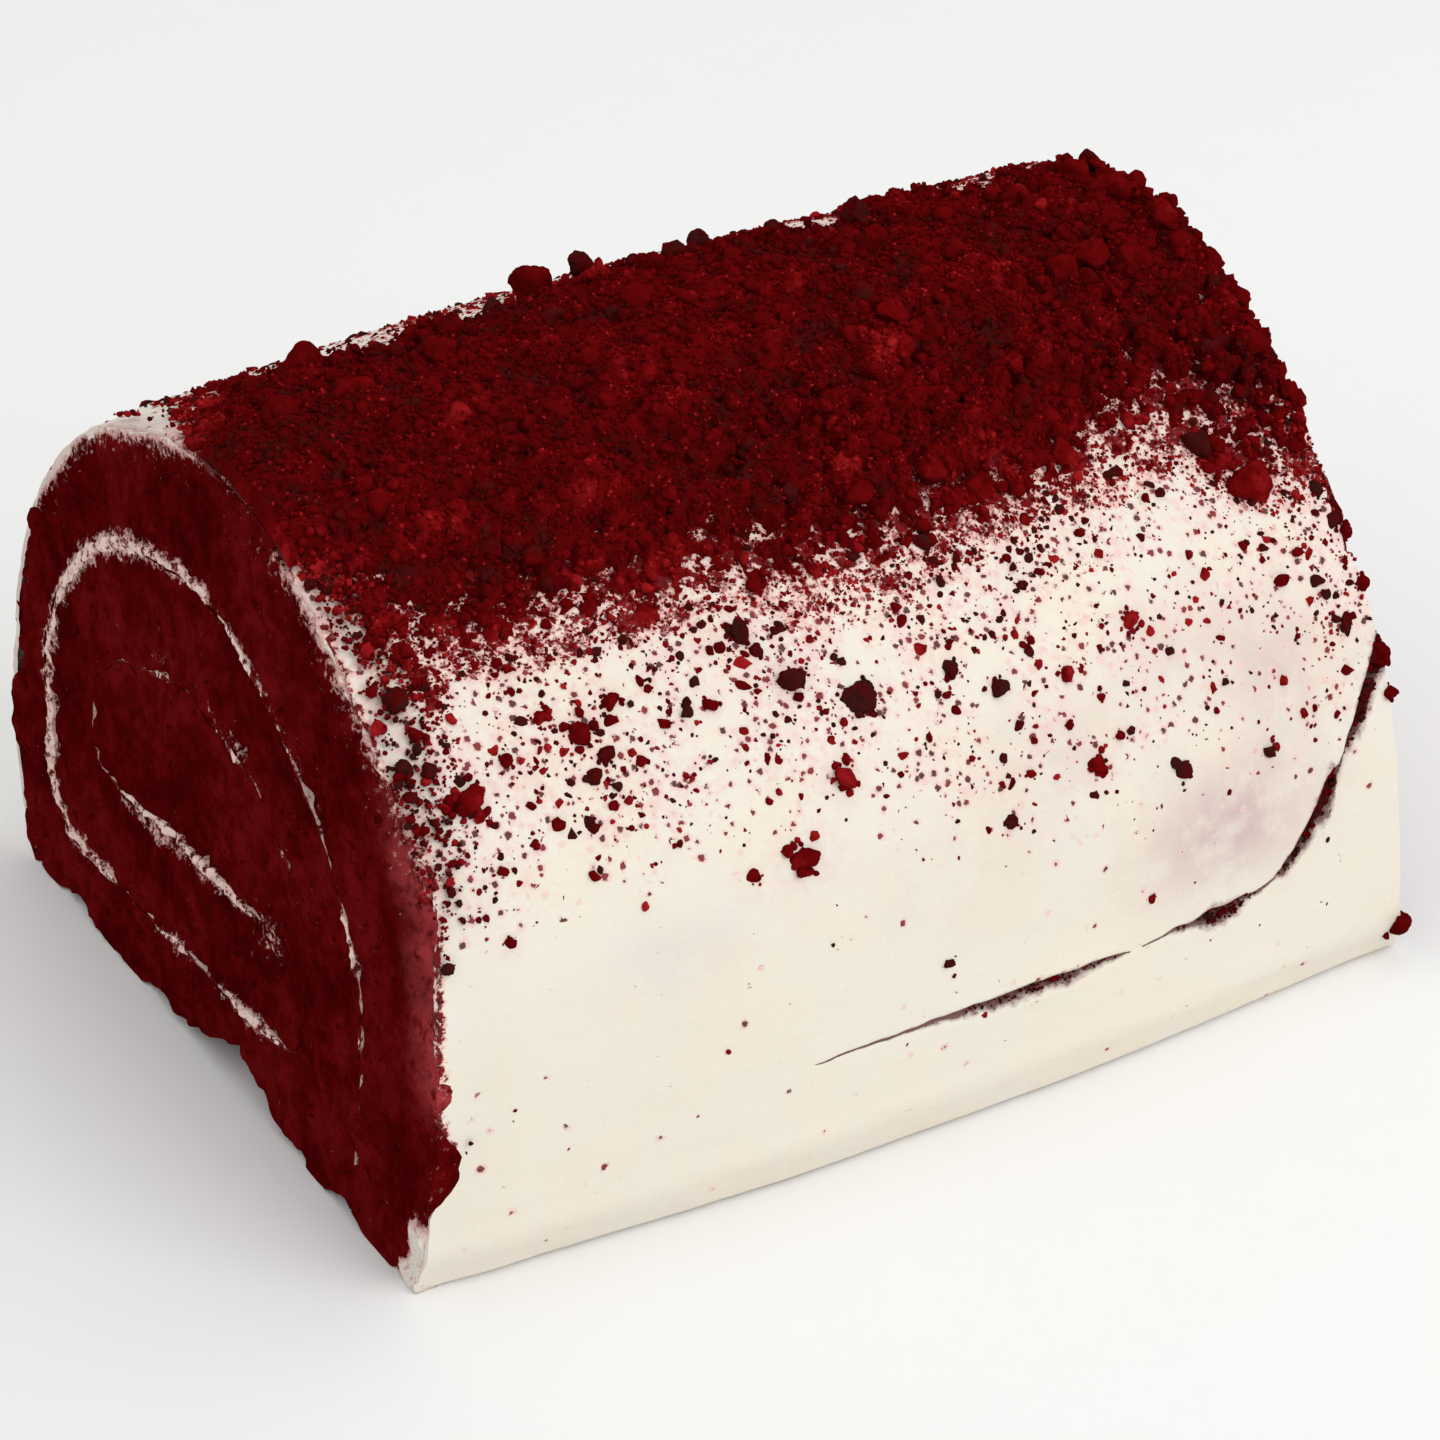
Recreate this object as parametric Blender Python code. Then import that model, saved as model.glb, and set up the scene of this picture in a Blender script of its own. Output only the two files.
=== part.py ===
"""Red velvet swiss roll: a sponge sheet rolled round cream, iced outside and topped with cake crumbs.

The roll lies along X on its flat base at z = 0. Its near cut face looks to -X, and its front to -Y.
A place on the roll's outside is given by x and by a turn: the angle, seen from the cut face, that runs
front (pi), base, back (2 pi), top, front (3 pi). All sizes are in metres.
"""

import math
import random

import bmesh
import bpy
from mathutils import Matrix, Vector, noise

MM = 0.001

# Driving dimensions of the roll
LENGTH = 110 * MM
WIDTH = 99 * MM
HEIGHT = 65.5 * MM
SHEET = 9.0 * MM
CREAM = 1.3 * MM
ICING = 1.4 * MM
BLANKET = 2.8 * MM
GAP = 0.3 * MM
BLANKET_GAP = 0.5 * MM

# Outline of the section
WAIST = 0.355 * HEIGHT
FRONT_ROUNDNESS = 1.76
BACK_ROUNDNESS = 2.1
FRONT_FOOT_SQUARENESS = 6.0
BACK_FOOT_SQUARENESS = 3.0
FRONT_PRESS = 9.0 * MM
BACK_PRESS = 9.8 * MM
ICING_FOOT = 0.5 * MM
KNIFE_WAVE = 0.35 * MM

# How the ends are cut: both cuts lean, the left one swings a little towards the back, and the right one bulges
LEFT_LEAN = 0.096
LEFT_SWING = -0.018
RIGHT_LEAN = -0.125
RIGHT_BULGE = 8 * MM
RIGHT_FOOT = 2.5 * MM
END_NARROWING = 0.045
END_DROP = 0.025
END_ROUND = 45 * MM
RIM_ICING = 0.6 * MM
RIM_REACH = 9 * MM
LEAST_MARGIN = 0.6 * MM
MARGIN_REACH = 12 * MM
BARE_MARGIN = 3.4 * MM
BARE_CLIMB = 43 * MM
BARE_SPREAD = 0.28
MARGIN_WAVE = 0.5 * MM
CUT_ROUGHNESS = 0.35 * MM
EDGE_TEAR = 1.2 * MM
NOTCH_DEPTH = 4.5 * MM
NOTCH_MIDDLE = -8 * MM
NOTCH_HALF = 9 * MM
NOTCH_REACH = 12 * MM

# The spiral, as depths under the outside
FIRST_TURN = math.pi
TURNS = 2.1
CORE_DEPTH = 31.0 * MM
ROLL_SHIFT = 5.5 * MM
CREAM_ROUNDNESS = 1.6
CREAM_SQUARENESS = 6.0
SLUMP_FRONT = 1.5 * MM
SLUMP_BACK = 1.5 * MM
SLUMP_TOP = 2.6 * MM
SLUMP_BASE = -8.3 * MM
LEAST_REACH = 1.6 * MM
SLIT = 1.0 * MM
CORE_CLEARANCE = 0.03

# Fineness
STEPS_PER_TURN = 30
CREAM_START = 2
BASE_CELLS = 12
FOOT_SHARES = (0.3, 0.55, 0.75, 0.9, 1.0)
ROLL_STATIONS = (0.0, 0.03, 0.08, 0.16, 0.34, 0.56, 0.78, 0.95, 1.0)
ICING_STATIONS = (0.0, 0.035, 0.08, 0.13, 0.19, 0.26, 0.34, 0.42, 0.5, 0.58, 0.66, 0.74, 0.82, 0.89, 0.95, 1.0)
BLANKET_CELLS = (24, 14)

# The outer end of the sheet, which shows as a crack in the icing: distances from the cut face and up from
# the front foot
SEAM_SPANS = ((51 * MM, 75 * MM), (79 * MM, 112 * MM))
SEAM_CLIMB = 13.6 * MM
SEAM_SLOPE = 1.46
SEAM_BEND = 94.5 * MM
SEAM_EASE = 3 * MM
SEAM_WIDTH = 0.9 * MM
SEAM_GAPE = 1.9 * MM
SEAM_GAPE_PLACE = 100.5 * MM
SEAM_GAPE_REACH = 4.5 * MM
SEAM_FADE = 8 * MM
SEAM_STEPS = 9

# Where the crumbs lie, as climbs over the skin from the front foot
BLANKET_FRONT = 61.5 * MM
BLANKET_BACK = 113 * MM
BLANKET_LEFT = 6.5 * MM
BLANKET_RIGHT = 109.2 * MM
TONGUE_PLACE = 104 * MM
TONGUE_REACH = 6 * MM
TONGUE = 7 * MM
BLANKET_LUMPS = 0.35
EDGE_SHARE = 0.3
EDGE_REACH = 0.22
FRONT_WAVE = 2.2 * MM
BACK_WAVE = 3 * MM
SIDE_WAVE = 1.5 * MM
SPECKS_FRONT = 29 * MM
SPECKS_BACK = 150 * MM
CRUMB_SEED = 11
ICING_CRUMBS = 46
ICING_CRUMBS_IN = 3 * MM
ICING_CRUMB_RADII = (0.8 * MM, 1.5 * MM)
FRONT_SHARE = 0.62
BLANKET_CLEARANCE = 4 * MM
CRUMB_SINK = 0.8 * MM
CRUMB_ROOM = 0.8 * MM
TOP_CRUMBS = 78
TOP_CRUMB_RADII = (1.3 * MM, 2.9 * MM)
TOP_CRUMB_BED = 0.4 * MM
TOP_CROWDING = 0.85
PLACING_TRIES = 30

# The crumbs that stand out: distance from the cut face, climb from the front foot, radius
BIG_ICING_CRUMBS = (
    (49.0, 48.0, 2.2),
    (39.0, 35.5, 2.4),
    (45.0, 41.5, 1.8),
    (42.5, 51.5, 2.0),
    (39.0, 57.0, 1.5),
    (7.5, 49.5, 2.3),
    (20.0, 52.5, 2.0),
    (3.5, 60.5, 1.8),
    (64.0, 45.0, 1.4),
    (59.5, 48.0, 1.2),
    (73.0, 35.0, 1.5),
    (83.0, 31.5, 1.3),
    (81.0, 47.0, 1.4),
    (33.5, 35.0, 1.1),
    (62.0, 32.5, 1.0),
    (106.5, 39.5, 1.5),
    (54.0, 20.0, 0.9),
    (78.0, 19.0, 0.8),
)
BIG_TOP_CRUMBS = (
    (15.5, 109.0, 3.7),
    (9.0, 99.0, 3.1),
    (16.0, 96.5, 2.5),
    (26.5, 98.5, 2.2),
    (41.5, 109.0, 2.2),
    (46.0, 106.5, 2.0),
    (49.0, 97.5, 2.8),
    (61.0, 107.0, 1.5),
    (79.0, 105.5, 2.0),
    (91.0, 84.0, 2.0),
    (95.5, 85.5, 2.5),
    (100.5, 56.0, 3.0),
    (96.0, 61.5, 2.0),
    (80.5, 65.0, 1.7),
    (103.0, 100.0, 2.2),
    (104.0, 94.5, 2.3),
    (106.0, 87.5, 2.2),
)

COLOURS = {
    "sponge": (0.17, 0.008, 0.010),
    "cream": (0.83, 0.74, 0.66),
    "icing": (0.86, 0.82, 0.74),
    "crumb": (0.22, 0.008, 0.012),
}


def smooth(value):
    """Eases 0 to 1."""
    value = min(max(value, 0.0), 1.0)
    return value * value * (3 - 2 * value)


def wave(x, y, z=0.0, scale=20 * MM):
    """Smooth noise from -1 to 1 whose bumps are about as wide as scale."""
    return noise.noise(Vector((x / scale, y / scale, z)))


def bun(turn, across, rise, power):
    """Point (y, z) of one quarter of a bun-shaped outline from its centre, given its reach and its squareness."""
    c, s = math.cos(turn), math.sin(turn)
    reach = (abs(c) ** power + abs(s) ** power) ** (-1 / power)
    return across * c * reach, rise * s * reach


def skin(turn, inset, floor=0.0):
    """Point (y, z) of the roll's section at a depth under its outside, never below the floor.

    Its base is pressed flat on the floor, whatever the depth. Its front foot is squarer than its back foot.
    """
    at_back, above = math.cos(turn) > 0, math.sin(turn) > 0
    if above:
        rise, power = HEIGHT - WAIST - inset, BACK_ROUNDNESS if at_back else FRONT_ROUNDNESS
    elif at_back:
        rise, power = WAIST + BACK_PRESS, BACK_FOOT_SQUARENESS
    else:
        rise, power = WAIST + FRONT_PRESS, FRONT_FOOT_SQUARENESS
    y, z = bun(turn, WIDTH / 2 - inset, rise, power)
    return y, max(floor, WAIST + z)


def foot_turn(inset, level, near, far):
    """Turn between near (above the level) and far (below it) at which the skin passes a level."""
    for _ in range(40):
        middle = (near + far) / 2
        if skin(middle, inset, -1.0)[1] > level:
            near = middle
        else:
            far = middle
    return near


def place(along, y, z):
    """World point at a share of the length along the roll, which narrows to its ends and has leaning cuts."""
    left_end = 1 - smooth(along * LENGTH / END_ROUND)
    right_end = 1 - smooth((1 - along) * LENGTH / END_ROUND)
    left = LEFT_LEAN * z + LEFT_SWING * (y + WIDTH / 2)
    right = RIGHT_LEAN * z + RIGHT_BULGE * math.sin(0.75 * math.pi * (y / WIDTH + 0.5)) + RIGHT_FOOT
    x = -LENGTH / 2 + along * LENGTH + (1 - along) * left + along * right
    return Vector((x, y * (1 - END_NARROWING * (left_end + right_end)), z * (1 - END_DROP * left_end)))


def cream_depth(turn):
    """Depth of the cream's middle under the outside."""
    return CORE_DEPTH - (SHEET + CREAM + 2 * GAP) * (turn - FIRST_TURN) / (2 * math.pi)


def cream_thickness(turn):
    """Cream is thickest at the back and pinched thin at its inner and outer ends."""
    swell = 1 + 0.45 * wave(turn * MM, 0.0, 3.7, scale=1.1 * MM)
    ends = smooth((turn - FIRST_TURN) / 0.9) * smooth((FIRST_TURN + TURNS * 2 * math.pi - turn) / 1.2)
    return CREAM * swell * (0.45 + 0.55 * ends)


def cream_edge(turn, outward):
    """Point (y, z) beside the cream's middle line, outward of it if positive."""
    depth = cream_depth(turn) - outward
    at_back, above = math.cos(turn) > 0, math.sin(turn) > 0
    across = WIDTH / 2 - depth - (SLUMP_BACK if at_back else SLUMP_FRONT)
    rise = HEIGHT - WAIST - depth - SLUMP_TOP if above else WAIST - depth - SLUMP_BASE
    power = CREAM_SQUARENESS if not above else (BACK_ROUNDNESS if at_back else CREAM_ROUNDNESS)
    least = LEAST_REACH + outward
    y, z = bun(turn, max(across, least), max(rise, least), power)
    return ROLL_SHIFT + y, WAIST + z


def spiral_turns():
    """Turns of the cream's points, on the same steps in every layer."""
    steps = range(CREAM_START, round(TURNS * STEPS_PER_TURN) + 1)
    return [FIRST_TURN + 2 * math.pi * step / STEPS_PER_TURN for step in steps]


def outside_turns(inset, level):
    """Turns of the points round the outside, from the back foot over the top to the front foot."""
    back_foot = foot_turn(inset, level, 2 * math.pi, 1.5 * math.pi)
    front_foot = foot_turn(inset, level, 3 * math.pi, 3.5 * math.pi)
    arch = STEPS_PER_TURN // 2
    back = [2 * math.pi + (back_foot - 2 * math.pi) * share for share in FOOT_SHARES[::-1]]
    top = [2 * math.pi + math.pi * step / arch for step in range(arch + 1)]
    front = [3 * math.pi + (front_foot - 3 * math.pi) * share for share in FOOT_SHARES]
    return back + top + front


def cream_section():
    """Outline of the cream strip, as (y, z), which stops a little short of the channel's inner end."""
    turns = spiral_turns()
    turns[0] += CORE_CLEARANCE
    outer = [cream_edge(turn, cream_thickness(turn) / 2) for turn in turns]
    inner = [cream_edge(turn, -cream_thickness(turn) / 2) for turn in turns]
    return outer + inner[::-1]


def sponge_section():
    """Outline of the rolled sheet, as (y, z): its base, its outside, then the channel that holds the cream.

    Returns the points, and the range of those on the outside.
    """
    turns = spiral_turns()
    outer = [cream_edge(turn, cream_thickness(turn) / 2 + GAP) for turn in turns]
    inner = [cream_edge(turn, -cream_thickness(turn) / 2 - GAP) for turn in turns]
    outside = [skin(turn, ICING + GAP) for turn in outside_turns(ICING + GAP, 0.0)]
    slit_front, slit_back = outer[-1][0], outer[-1][0] + SLIT
    back_foot = outside[0][0]
    base = [slit_back + (back_foot - slit_back) * i / BASE_CELLS for i in range(BASE_CELLS)]
    points = [(y, 0.0) for y in base] + outside + [(slit_front, 0.0)] + outer[::-1] + inner
    return points, range(BASE_CELLS + 1, BASE_CELLS + len(outside) - 1)


def near_cut(along, reach):
    """1 at either cut, easing to 0 within a reach of it."""
    return 1 - smooth(min(along, 1 - along) * LENGTH / reach)


def cut_noise(along, y, z):
    """How far the sponge stands out of its cut at a point, so that the cut looks torn."""
    return CUT_ROUGHNESS * near_cut(along, 4 * MM) * wave(y, z, 1.3, scale=5 * MM)


def base_notch(along, y):
    """Height of the bite that is torn out of the base, next to the cut face."""
    fade = 1 - smooth(along * LENGTH / NOTCH_REACH)
    return NOTCH_DEPTH * fade * math.exp(-(((y - NOTCH_MIDDLE) / NOTCH_HALF) ** 2))


def cream_ring(along):
    """The cream's outline placed at a share of the length."""
    return [place(along, y, z) for y, z in cream_section()]


def sponge_ring(along):
    """The sheet's outline placed at a share of the length, torn a little where it is cut."""
    section, outside = sponge_section()
    points = []
    for index, (y, z) in enumerate(section):
        if index in outside:
            tear = EDGE_TEAR * near_cut(along, 5 * MM) * max(0.0, wave(y, z, 6.1, scale=6 * MM))
            y -= math.copysign(tear, y) if z < 0.7 * HEIGHT else 0.0
            z -= tear if z > WAIST else 0.0
        if z == 0.0:
            z = base_notch(along, y)
        point = place(along, y, z)
        point.x += cut_noise(along, y, z)
        points.append(point)
    return points


def new_object(name, bm, material, smooth_angle=None):
    """Closes a bmesh into a named object with its material."""
    bmesh.ops.recalc_face_normals(bm, faces=bm.faces)
    mesh = bpy.data.meshes.new(name)
    bm.to_mesh(mesh)
    bm.free()
    if smooth_angle:
        mesh.shade_smooth()
        mesh.set_sharp_from_angle(angle=smooth_angle)
    mesh.materials.append(material)
    obj = bpy.data.objects.new(name, mesh)
    bpy.context.scene.collection.objects.link(obj)
    return obj


def loft(name, rings, material):
    """Solid through rings of as many points each, with both ends filled."""
    bm = bmesh.new()
    loops = [[bm.verts.new(point) for point in points] for points in rings]
    for near, far in zip(loops, loops[1:]):
        for i in range(len(near)):
            j = (i + 1) % len(near)
            bm.faces.new((near[i], near[j], far[j], far[i]))
    caps = [bm.faces.new(loops[0][::-1]), bm.faces.new(loops[-1])]
    bm.normal_update()
    bmesh.ops.triangulate(bm, faces=caps, ngon_method="EAR_CLIP")
    return new_object(name, bm, material)


def slab(name, outer, inner, material):
    """Solid between two grids of points of the same size."""
    bm = bmesh.new()
    grids = [[[bm.verts.new(p) for p in row] for row in grid] for grid in (outer, inner)]
    rows, columns = len(outer), len(outer[0])
    for grid in grids:
        for i in range(rows - 1):
            for j in range(columns - 1):
                bm.faces.new((grid[i][j], grid[i + 1][j], grid[i + 1][j + 1], grid[i][j + 1]))
    rim = [(i, 0) for i in range(rows)] + [(rows - 1, j) for j in range(1, columns)]
    rim += [(i, columns - 1) for i in range(rows - 2, -1, -1)] + [(0, j) for j in range(columns - 2, 0, -1)]
    for (i, j), (k, m) in zip(rim, rim[1:] + rim[:1]):
        bm.faces.new((grids[0][i][j], grids[0][k][m], grids[1][k][m], grids[1][i][j]))
    return new_object(name, bm, material, smooth_angle=math.radians(50))


class Climb:
    """Turns by the distance over the skin from the front foot."""

    FINENESS = 400

    def __init__(self):
        turns = outside_turns(0.0, ICING_FOOT)
        start, end = turns[-1], turns[0]
        self.turns = [start + (end - start) * i / self.FINENESS for i in range(self.FINENESS + 1)]
        points = [skin(turn, 0.0) for turn in self.turns]
        self.climbs = [0.0]
        for a, b in zip(points, points[1:]):
            self.climbs.append(self.climbs[-1] + math.dist(a, b))

    def turn(self, climb):
        """Turn at a climb."""
        climb = min(max(climb, 0.0), self.climbs[-1])
        index = next(i for i, c in enumerate(self.climbs) if c >= climb)
        if index == 0:
            return self.turns[0]
        low, high = self.climbs[index - 1], self.climbs[index]
        share = (climb - low) / (high - low)
        return self.turns[index - 1] + (self.turns[index] - self.turns[index - 1]) * share


CLIMB = Climb()


def icing_lift(along, turn):
    """Height of the icing's unevenness over the nominal skin, left by the palette knife."""
    return KNIFE_WAVE * wave(along * LENGTH, turn * 30 * MM, 5.1, scale=24 * MM)


def blanket_thickness(along, turn, share_in):
    """The crumb blanket is lumpy, and thin at its edge."""
    lump = 1 + BLANKET_LUMPS * wave(along * LENGTH, turn * 40 * MM, 9.4, scale=9 * MM)
    return BLANKET * lump * (EDGE_SHARE + (1 - EDGE_SHARE) * smooth(share_in / EDGE_REACH))


def on_skin(along, turn, lift, floor=0.0):
    """World point at a height over the skin."""
    y, z = skin(turn, -lift, floor)
    return place(along, y, z)


def outward(along, turn):
    """World direction away from the skin."""
    step = 0.01
    across = on_skin(along, turn + step, 0.0) - on_skin(along, turn - step, 0.0)
    ahead = on_skin(min(along + step, 1.0), turn, 0.0) - on_skin(max(along - step, 0.0), turn, 0.0)
    return across.cross(ahead).normalized()


def icing_margin(turn):
    """How far the icing stops short of the cut face, where the sheet's bare skin shows."""
    bare = math.exp(-(((turn - CLIMB.turn(BARE_CLIMB)) / BARE_SPREAD) ** 2))
    ragged = MARGIN_WAVE * wave(turn * 20 * MM, 0.0, 2.2, scale=4 * MM)
    return LEAST_MARGIN + BARE_MARGIN * bare + ragged


def rim_thinning(along):
    """How much thinner the icing is next to the cut face."""
    return (ICING - RIM_ICING) * (1 - smooth(along * LENGTH / RIM_REACH))


def build_icing(material):
    """The coat of icing, from foot to foot."""
    outer, inner = [], []
    for along in ICING_STATIONS:
        near = (1 - smooth(along * LENGTH / MARGIN_REACH)) / LENGTH
        rows = []
        for depth in (0.0, ICING):
            row = []
            for turn in outside_turns(depth, ICING_FOOT):
                lift = -depth if depth else icing_lift(along, turn) - rim_thinning(along)
                row.append(on_skin(along + near * icing_margin(turn), turn, lift, ICING_FOOT))
            rows.append(row)
        outer.append(rows[0])
        inner.append(rows[1])
    return slab("icing", outer, inner, material)


def seam_climb(distance):
    """Climb of the crack at a distance from the cut face: level, then turning up to the far end."""
    past = distance - SEAM_BEND
    wobble = 0.35 * MM * wave(distance, 0.0, 0.6, scale=6 * MM)
    return SEAM_CLIMB + SEAM_SLOPE * (math.hypot(past, SEAM_EASE) + past) / 2 + wobble


def seam_width(distance, span):
    """The crack closes at its left end and gapes where it turns up."""
    gape = SEAM_GAPE * math.exp(-(((distance - SEAM_GAPE_PLACE) / SEAM_GAPE_REACH) ** 2))
    return (SEAM_WIDTH + gape) * (0.35 + 0.65 * smooth((distance - span[0]) / SEAM_FADE))


def cut_seam(icing, material):
    """Cuts the crack through the icing."""
    for span in SEAM_SPANS:
        rings = []
        for step in range(SEAM_STEPS + 1):
            distance = span[0] + (span[1] - span[0]) * step / SEAM_STEPS
            climb, half = seam_climb(distance), seam_width(distance, span) / 2
            corners = ((half, 3 * MM), (-half, 3 * MM), (-half, -ICING - GAP / 2), (half, -ICING - GAP / 2))
            along = distance / LENGTH
            rings.append([on_skin(along, CLIMB.turn(climb + over), lift) for over, lift in corners])
        cutter = loft("seam_cutter", rings, material)
        combine(icing, [cutter], "DIFFERENCE")


def combine(target, others, operation):
    """Applies one Boolean of a collection on the target, and removes the collection's objects."""
    group = bpy.data.collections.new("tools")
    bpy.context.scene.collection.children.link(group)
    for obj in others:
        bpy.context.scene.collection.objects.unlink(obj)
        group.objects.link(obj)
    modifier = target.modifiers.new("combine", "BOOLEAN")
    modifier.operand_type = "COLLECTION"
    modifier.collection = group
    modifier.operation = operation
    modifier.solver = "EXACT"
    bpy.context.view_layer.update()
    joined = bpy.data.meshes.new_from_object(target.evaluated_get(bpy.context.evaluated_depsgraph_get()))
    target.modifiers.remove(modifier)
    old = target.data
    target.data = joined
    joined.name = target.name
    bpy.data.meshes.remove(old)
    for obj in others:
        bpy.data.objects.remove(obj, do_unlink=True)
    bpy.data.collections.remove(group)


def crumb(along, turn, lowest, radius, rng, material):
    """A torn lump of cake whose lowest point is at a height over the skin."""
    normal = outward(along, turn)
    bm = bmesh.new()
    bmesh.ops.create_icosphere(bm, subdivisions=1, radius=radius)
    spin = Matrix.Rotation(rng.uniform(0, 2 * math.pi), 3, "Z") @ Matrix.Rotation(rng.uniform(0, 1.2), 3, "X")
    stretch = Vector((rng.uniform(0.85, 1.3), rng.uniform(0.75, 1.05), rng.uniform(0.7, 0.95)))
    upright = normal.to_track_quat("Z", "Y").to_matrix()
    for vert in bm.verts:
        vert.co = upright @ ((spin @ (vert.co * rng.uniform(0.78, 1.12))) * stretch)
    bottom = min(vert.co.dot(normal) for vert in bm.verts)
    bmesh.ops.translate(bm, verts=bm.verts, vec=on_skin(along, turn, 0.0) + normal * (lowest - bottom))
    return new_object("crumb", bm, material)


def scatter_on_icing(rng, material):
    """Crumbs on the icing: dense beside the blanket, and thinning down the front and the back."""
    places = [(d * MM, c * MM, r * MM) for d, c, r in BIG_ICING_CRUMBS]
    while len(places) < len(BIG_ICING_CRUMBS) + ICING_CRUMBS:
        distance = rng.uniform(ICING_CRUMBS_IN, LENGTH - ICING_CRUMBS_IN)
        radius = rng.uniform(*ICING_CRUMB_RADII)
        fall = abs(rng.gauss(0.0, 0.4))
        if rng.random() < FRONT_SHARE:
            climb = BLANKET_FRONT - BLANKET_CLEARANCE - fall * (BLANKET_FRONT - SPECKS_FRONT)
        else:
            climb = BLANKET_BACK + BLANKET_CLEARANCE + fall * (SPECKS_BACK - BLANKET_BACK)
        inside = SPECKS_FRONT < climb < SPECKS_BACK
        if inside and all(math.dist((distance, climb), p[:2]) > radius + p[2] + CRUMB_ROOM for p in places):
            places.append((distance, climb, radius))
    crumbs = []
    for distance, climb, radius in places:
        along, turn = distance / LENGTH, CLIMB.turn(climb)
        lowest = icing_lift(along, turn) - rim_thinning(along) - min(0.7 * radius, CRUMB_SINK)
        crumbs.append(crumb(along, turn, lowest, radius, rng, material))
    return crumbs


def blanket_edges(along):
    """Climbs of the blanket's ragged front and back edges at a share of the length."""
    distance = along * LENGTH
    front = BLANKET_FRONT + FRONT_WAVE * wave(distance, 0.0, 4.2, scale=8 * MM)
    front -= TONGUE * math.exp(-(((distance - TONGUE_PLACE) / TONGUE_REACH) ** 2))
    back = BLANKET_BACK + BACK_WAVE * wave(distance, 0.0, 7.7, scale=10 * MM)
    return front, back


def build_blanket(material):
    """The bed of fine crumbs over the top."""
    rows, columns = BLANKET_CELLS
    outer, inner = [], []
    for i in range(rows + 1):
        share = i / rows
        outer_row, inner_row = [], []
        for j in range(columns + 1):
            level = j / columns
            ragged = SIDE_WAVE * wave(level * 60 * MM, 0.0, 8.8, scale=12 * MM)
            left, right = BLANKET_LEFT + ragged, BLANKET_RIGHT - abs(ragged)
            along = (left + (right - left) * share) / LENGTH
            front, back = blanket_edges(along)
            turn = CLIMB.turn(front + (back - front) * level)
            base = BLANKET_GAP + icing_lift(along, turn)
            edge = min(2 * share, 2 * (1 - share), level, 1 - level)
            inner_row.append(on_skin(along, turn, base))
            outer_row.append(on_skin(along, turn, base + blanket_thickness(along, turn, edge)))
        outer.append(outer_row)
        inner.append(inner_row)
    return slab("crumb_topping", outer, inner, material)


def scatter_on_top(rng, material):
    """The lumps that stand out of the blanket, the largest first."""
    places = [(d * MM, c * MM, r * MM) for d, c, r in BIG_TOP_CRUMBS]
    radii = sorted((rng.uniform(*TOP_CRUMB_RADII) for _ in range(TOP_CRUMBS)), reverse=True)
    for radius in radii:
        for _ in range(PLACING_TRIES):
            distance = rng.uniform(BLANKET_LEFT + radius, LENGTH - radius)
            front, back = blanket_edges(distance / LENGTH)
            climb = rng.uniform(front + radius, back - radius)
            if all(math.dist((distance, climb), p[:2]) > TOP_CROWDING * (radius + p[2]) for p in places):
                places.append((distance, climb, radius))
                break
    crumbs = []
    for distance, climb, radius in places:
        along, turn = distance / LENGTH, CLIMB.turn(climb)
        lowest = icing_lift(along, turn) + BLANKET_GAP + TOP_CRUMB_BED
        crumbs.append(crumb(along, turn, lowest, radius, rng, material))
    return crumbs


def stand_on_origin(objects):
    """Moves the finished roll so that the origin is the middle of its base."""
    points = [vert.co for obj in objects for vert in obj.data.vertices]
    low = Vector([min(p[i] for p in points) for i in range(3)])
    high = Vector([max(p[i] for p in points) for i in range(3)])
    shift = Vector((-(low.x + high.x) / 2, -(low.y + high.y) / 2, -low.z))
    for obj in objects:
        obj.data.transform(Matrix.Translation(shift))


def finish(name, colour, roughness):
    """A plain material for one kind of food."""
    material = bpy.data.materials.new(name)
    material.use_nodes = True
    shader = material.node_tree.nodes["Principled BSDF"]
    shader.inputs["Base Color"].default_value = (*colour, 1.0)
    shader.inputs["Roughness"].default_value = roughness
    shader.inputs["Metallic"].default_value = 0.0
    return material


def main():
    for obj in list(bpy.data.objects):
        bpy.data.objects.remove(obj, do_unlink=True)
    rng = random.Random(CRUMB_SEED)
    sponge_finish = finish("sponge", COLOURS["sponge"], 0.9)
    cream_finish = finish("cream", COLOURS["cream"], 0.5)
    icing_finish = finish("icing", COLOURS["icing"], 0.45)
    crumb_finish = finish("crumb", COLOURS["crumb"], 0.95)

    sponge = loft("sponge", [sponge_ring(along) for along in ROLL_STATIONS], sponge_finish)
    cream = loft("cream_filling", [cream_ring(along) for along in ROLL_STATIONS], cream_finish)
    icing = build_icing(icing_finish)
    cut_seam(icing, icing_finish)
    combine(icing, scatter_on_icing(rng, crumb_finish), "UNION")
    topping = build_blanket(crumb_finish)
    combine(topping, scatter_on_top(rng, crumb_finish), "UNION")
    stand_on_origin([sponge, cream, icing, topping])


main()
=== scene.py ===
"""Looks of the red velvet swiss roll: torn sponge, cream spiral, spread icing and a bed of cake crumbs.

The roll lies along X with its spiral cut looking to -X and its cracked, iced front to -Y. A place on its
outside is a distance from the cut and a climb: the way up over the skin from the front foot. Lengths are
in metres, apart from knots, patches, lumps and widths of bumps, which are in millimetres.
"""

import logging
import math
from collections.abc import Callable
from dataclasses import dataclass
from enum import Enum
from functools import cached_property, reduce
from typing import NamedTuple

import bmesh
import bpy
import numpy as np
from mathutils import Euler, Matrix, Vector, geometry, noise


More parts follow.
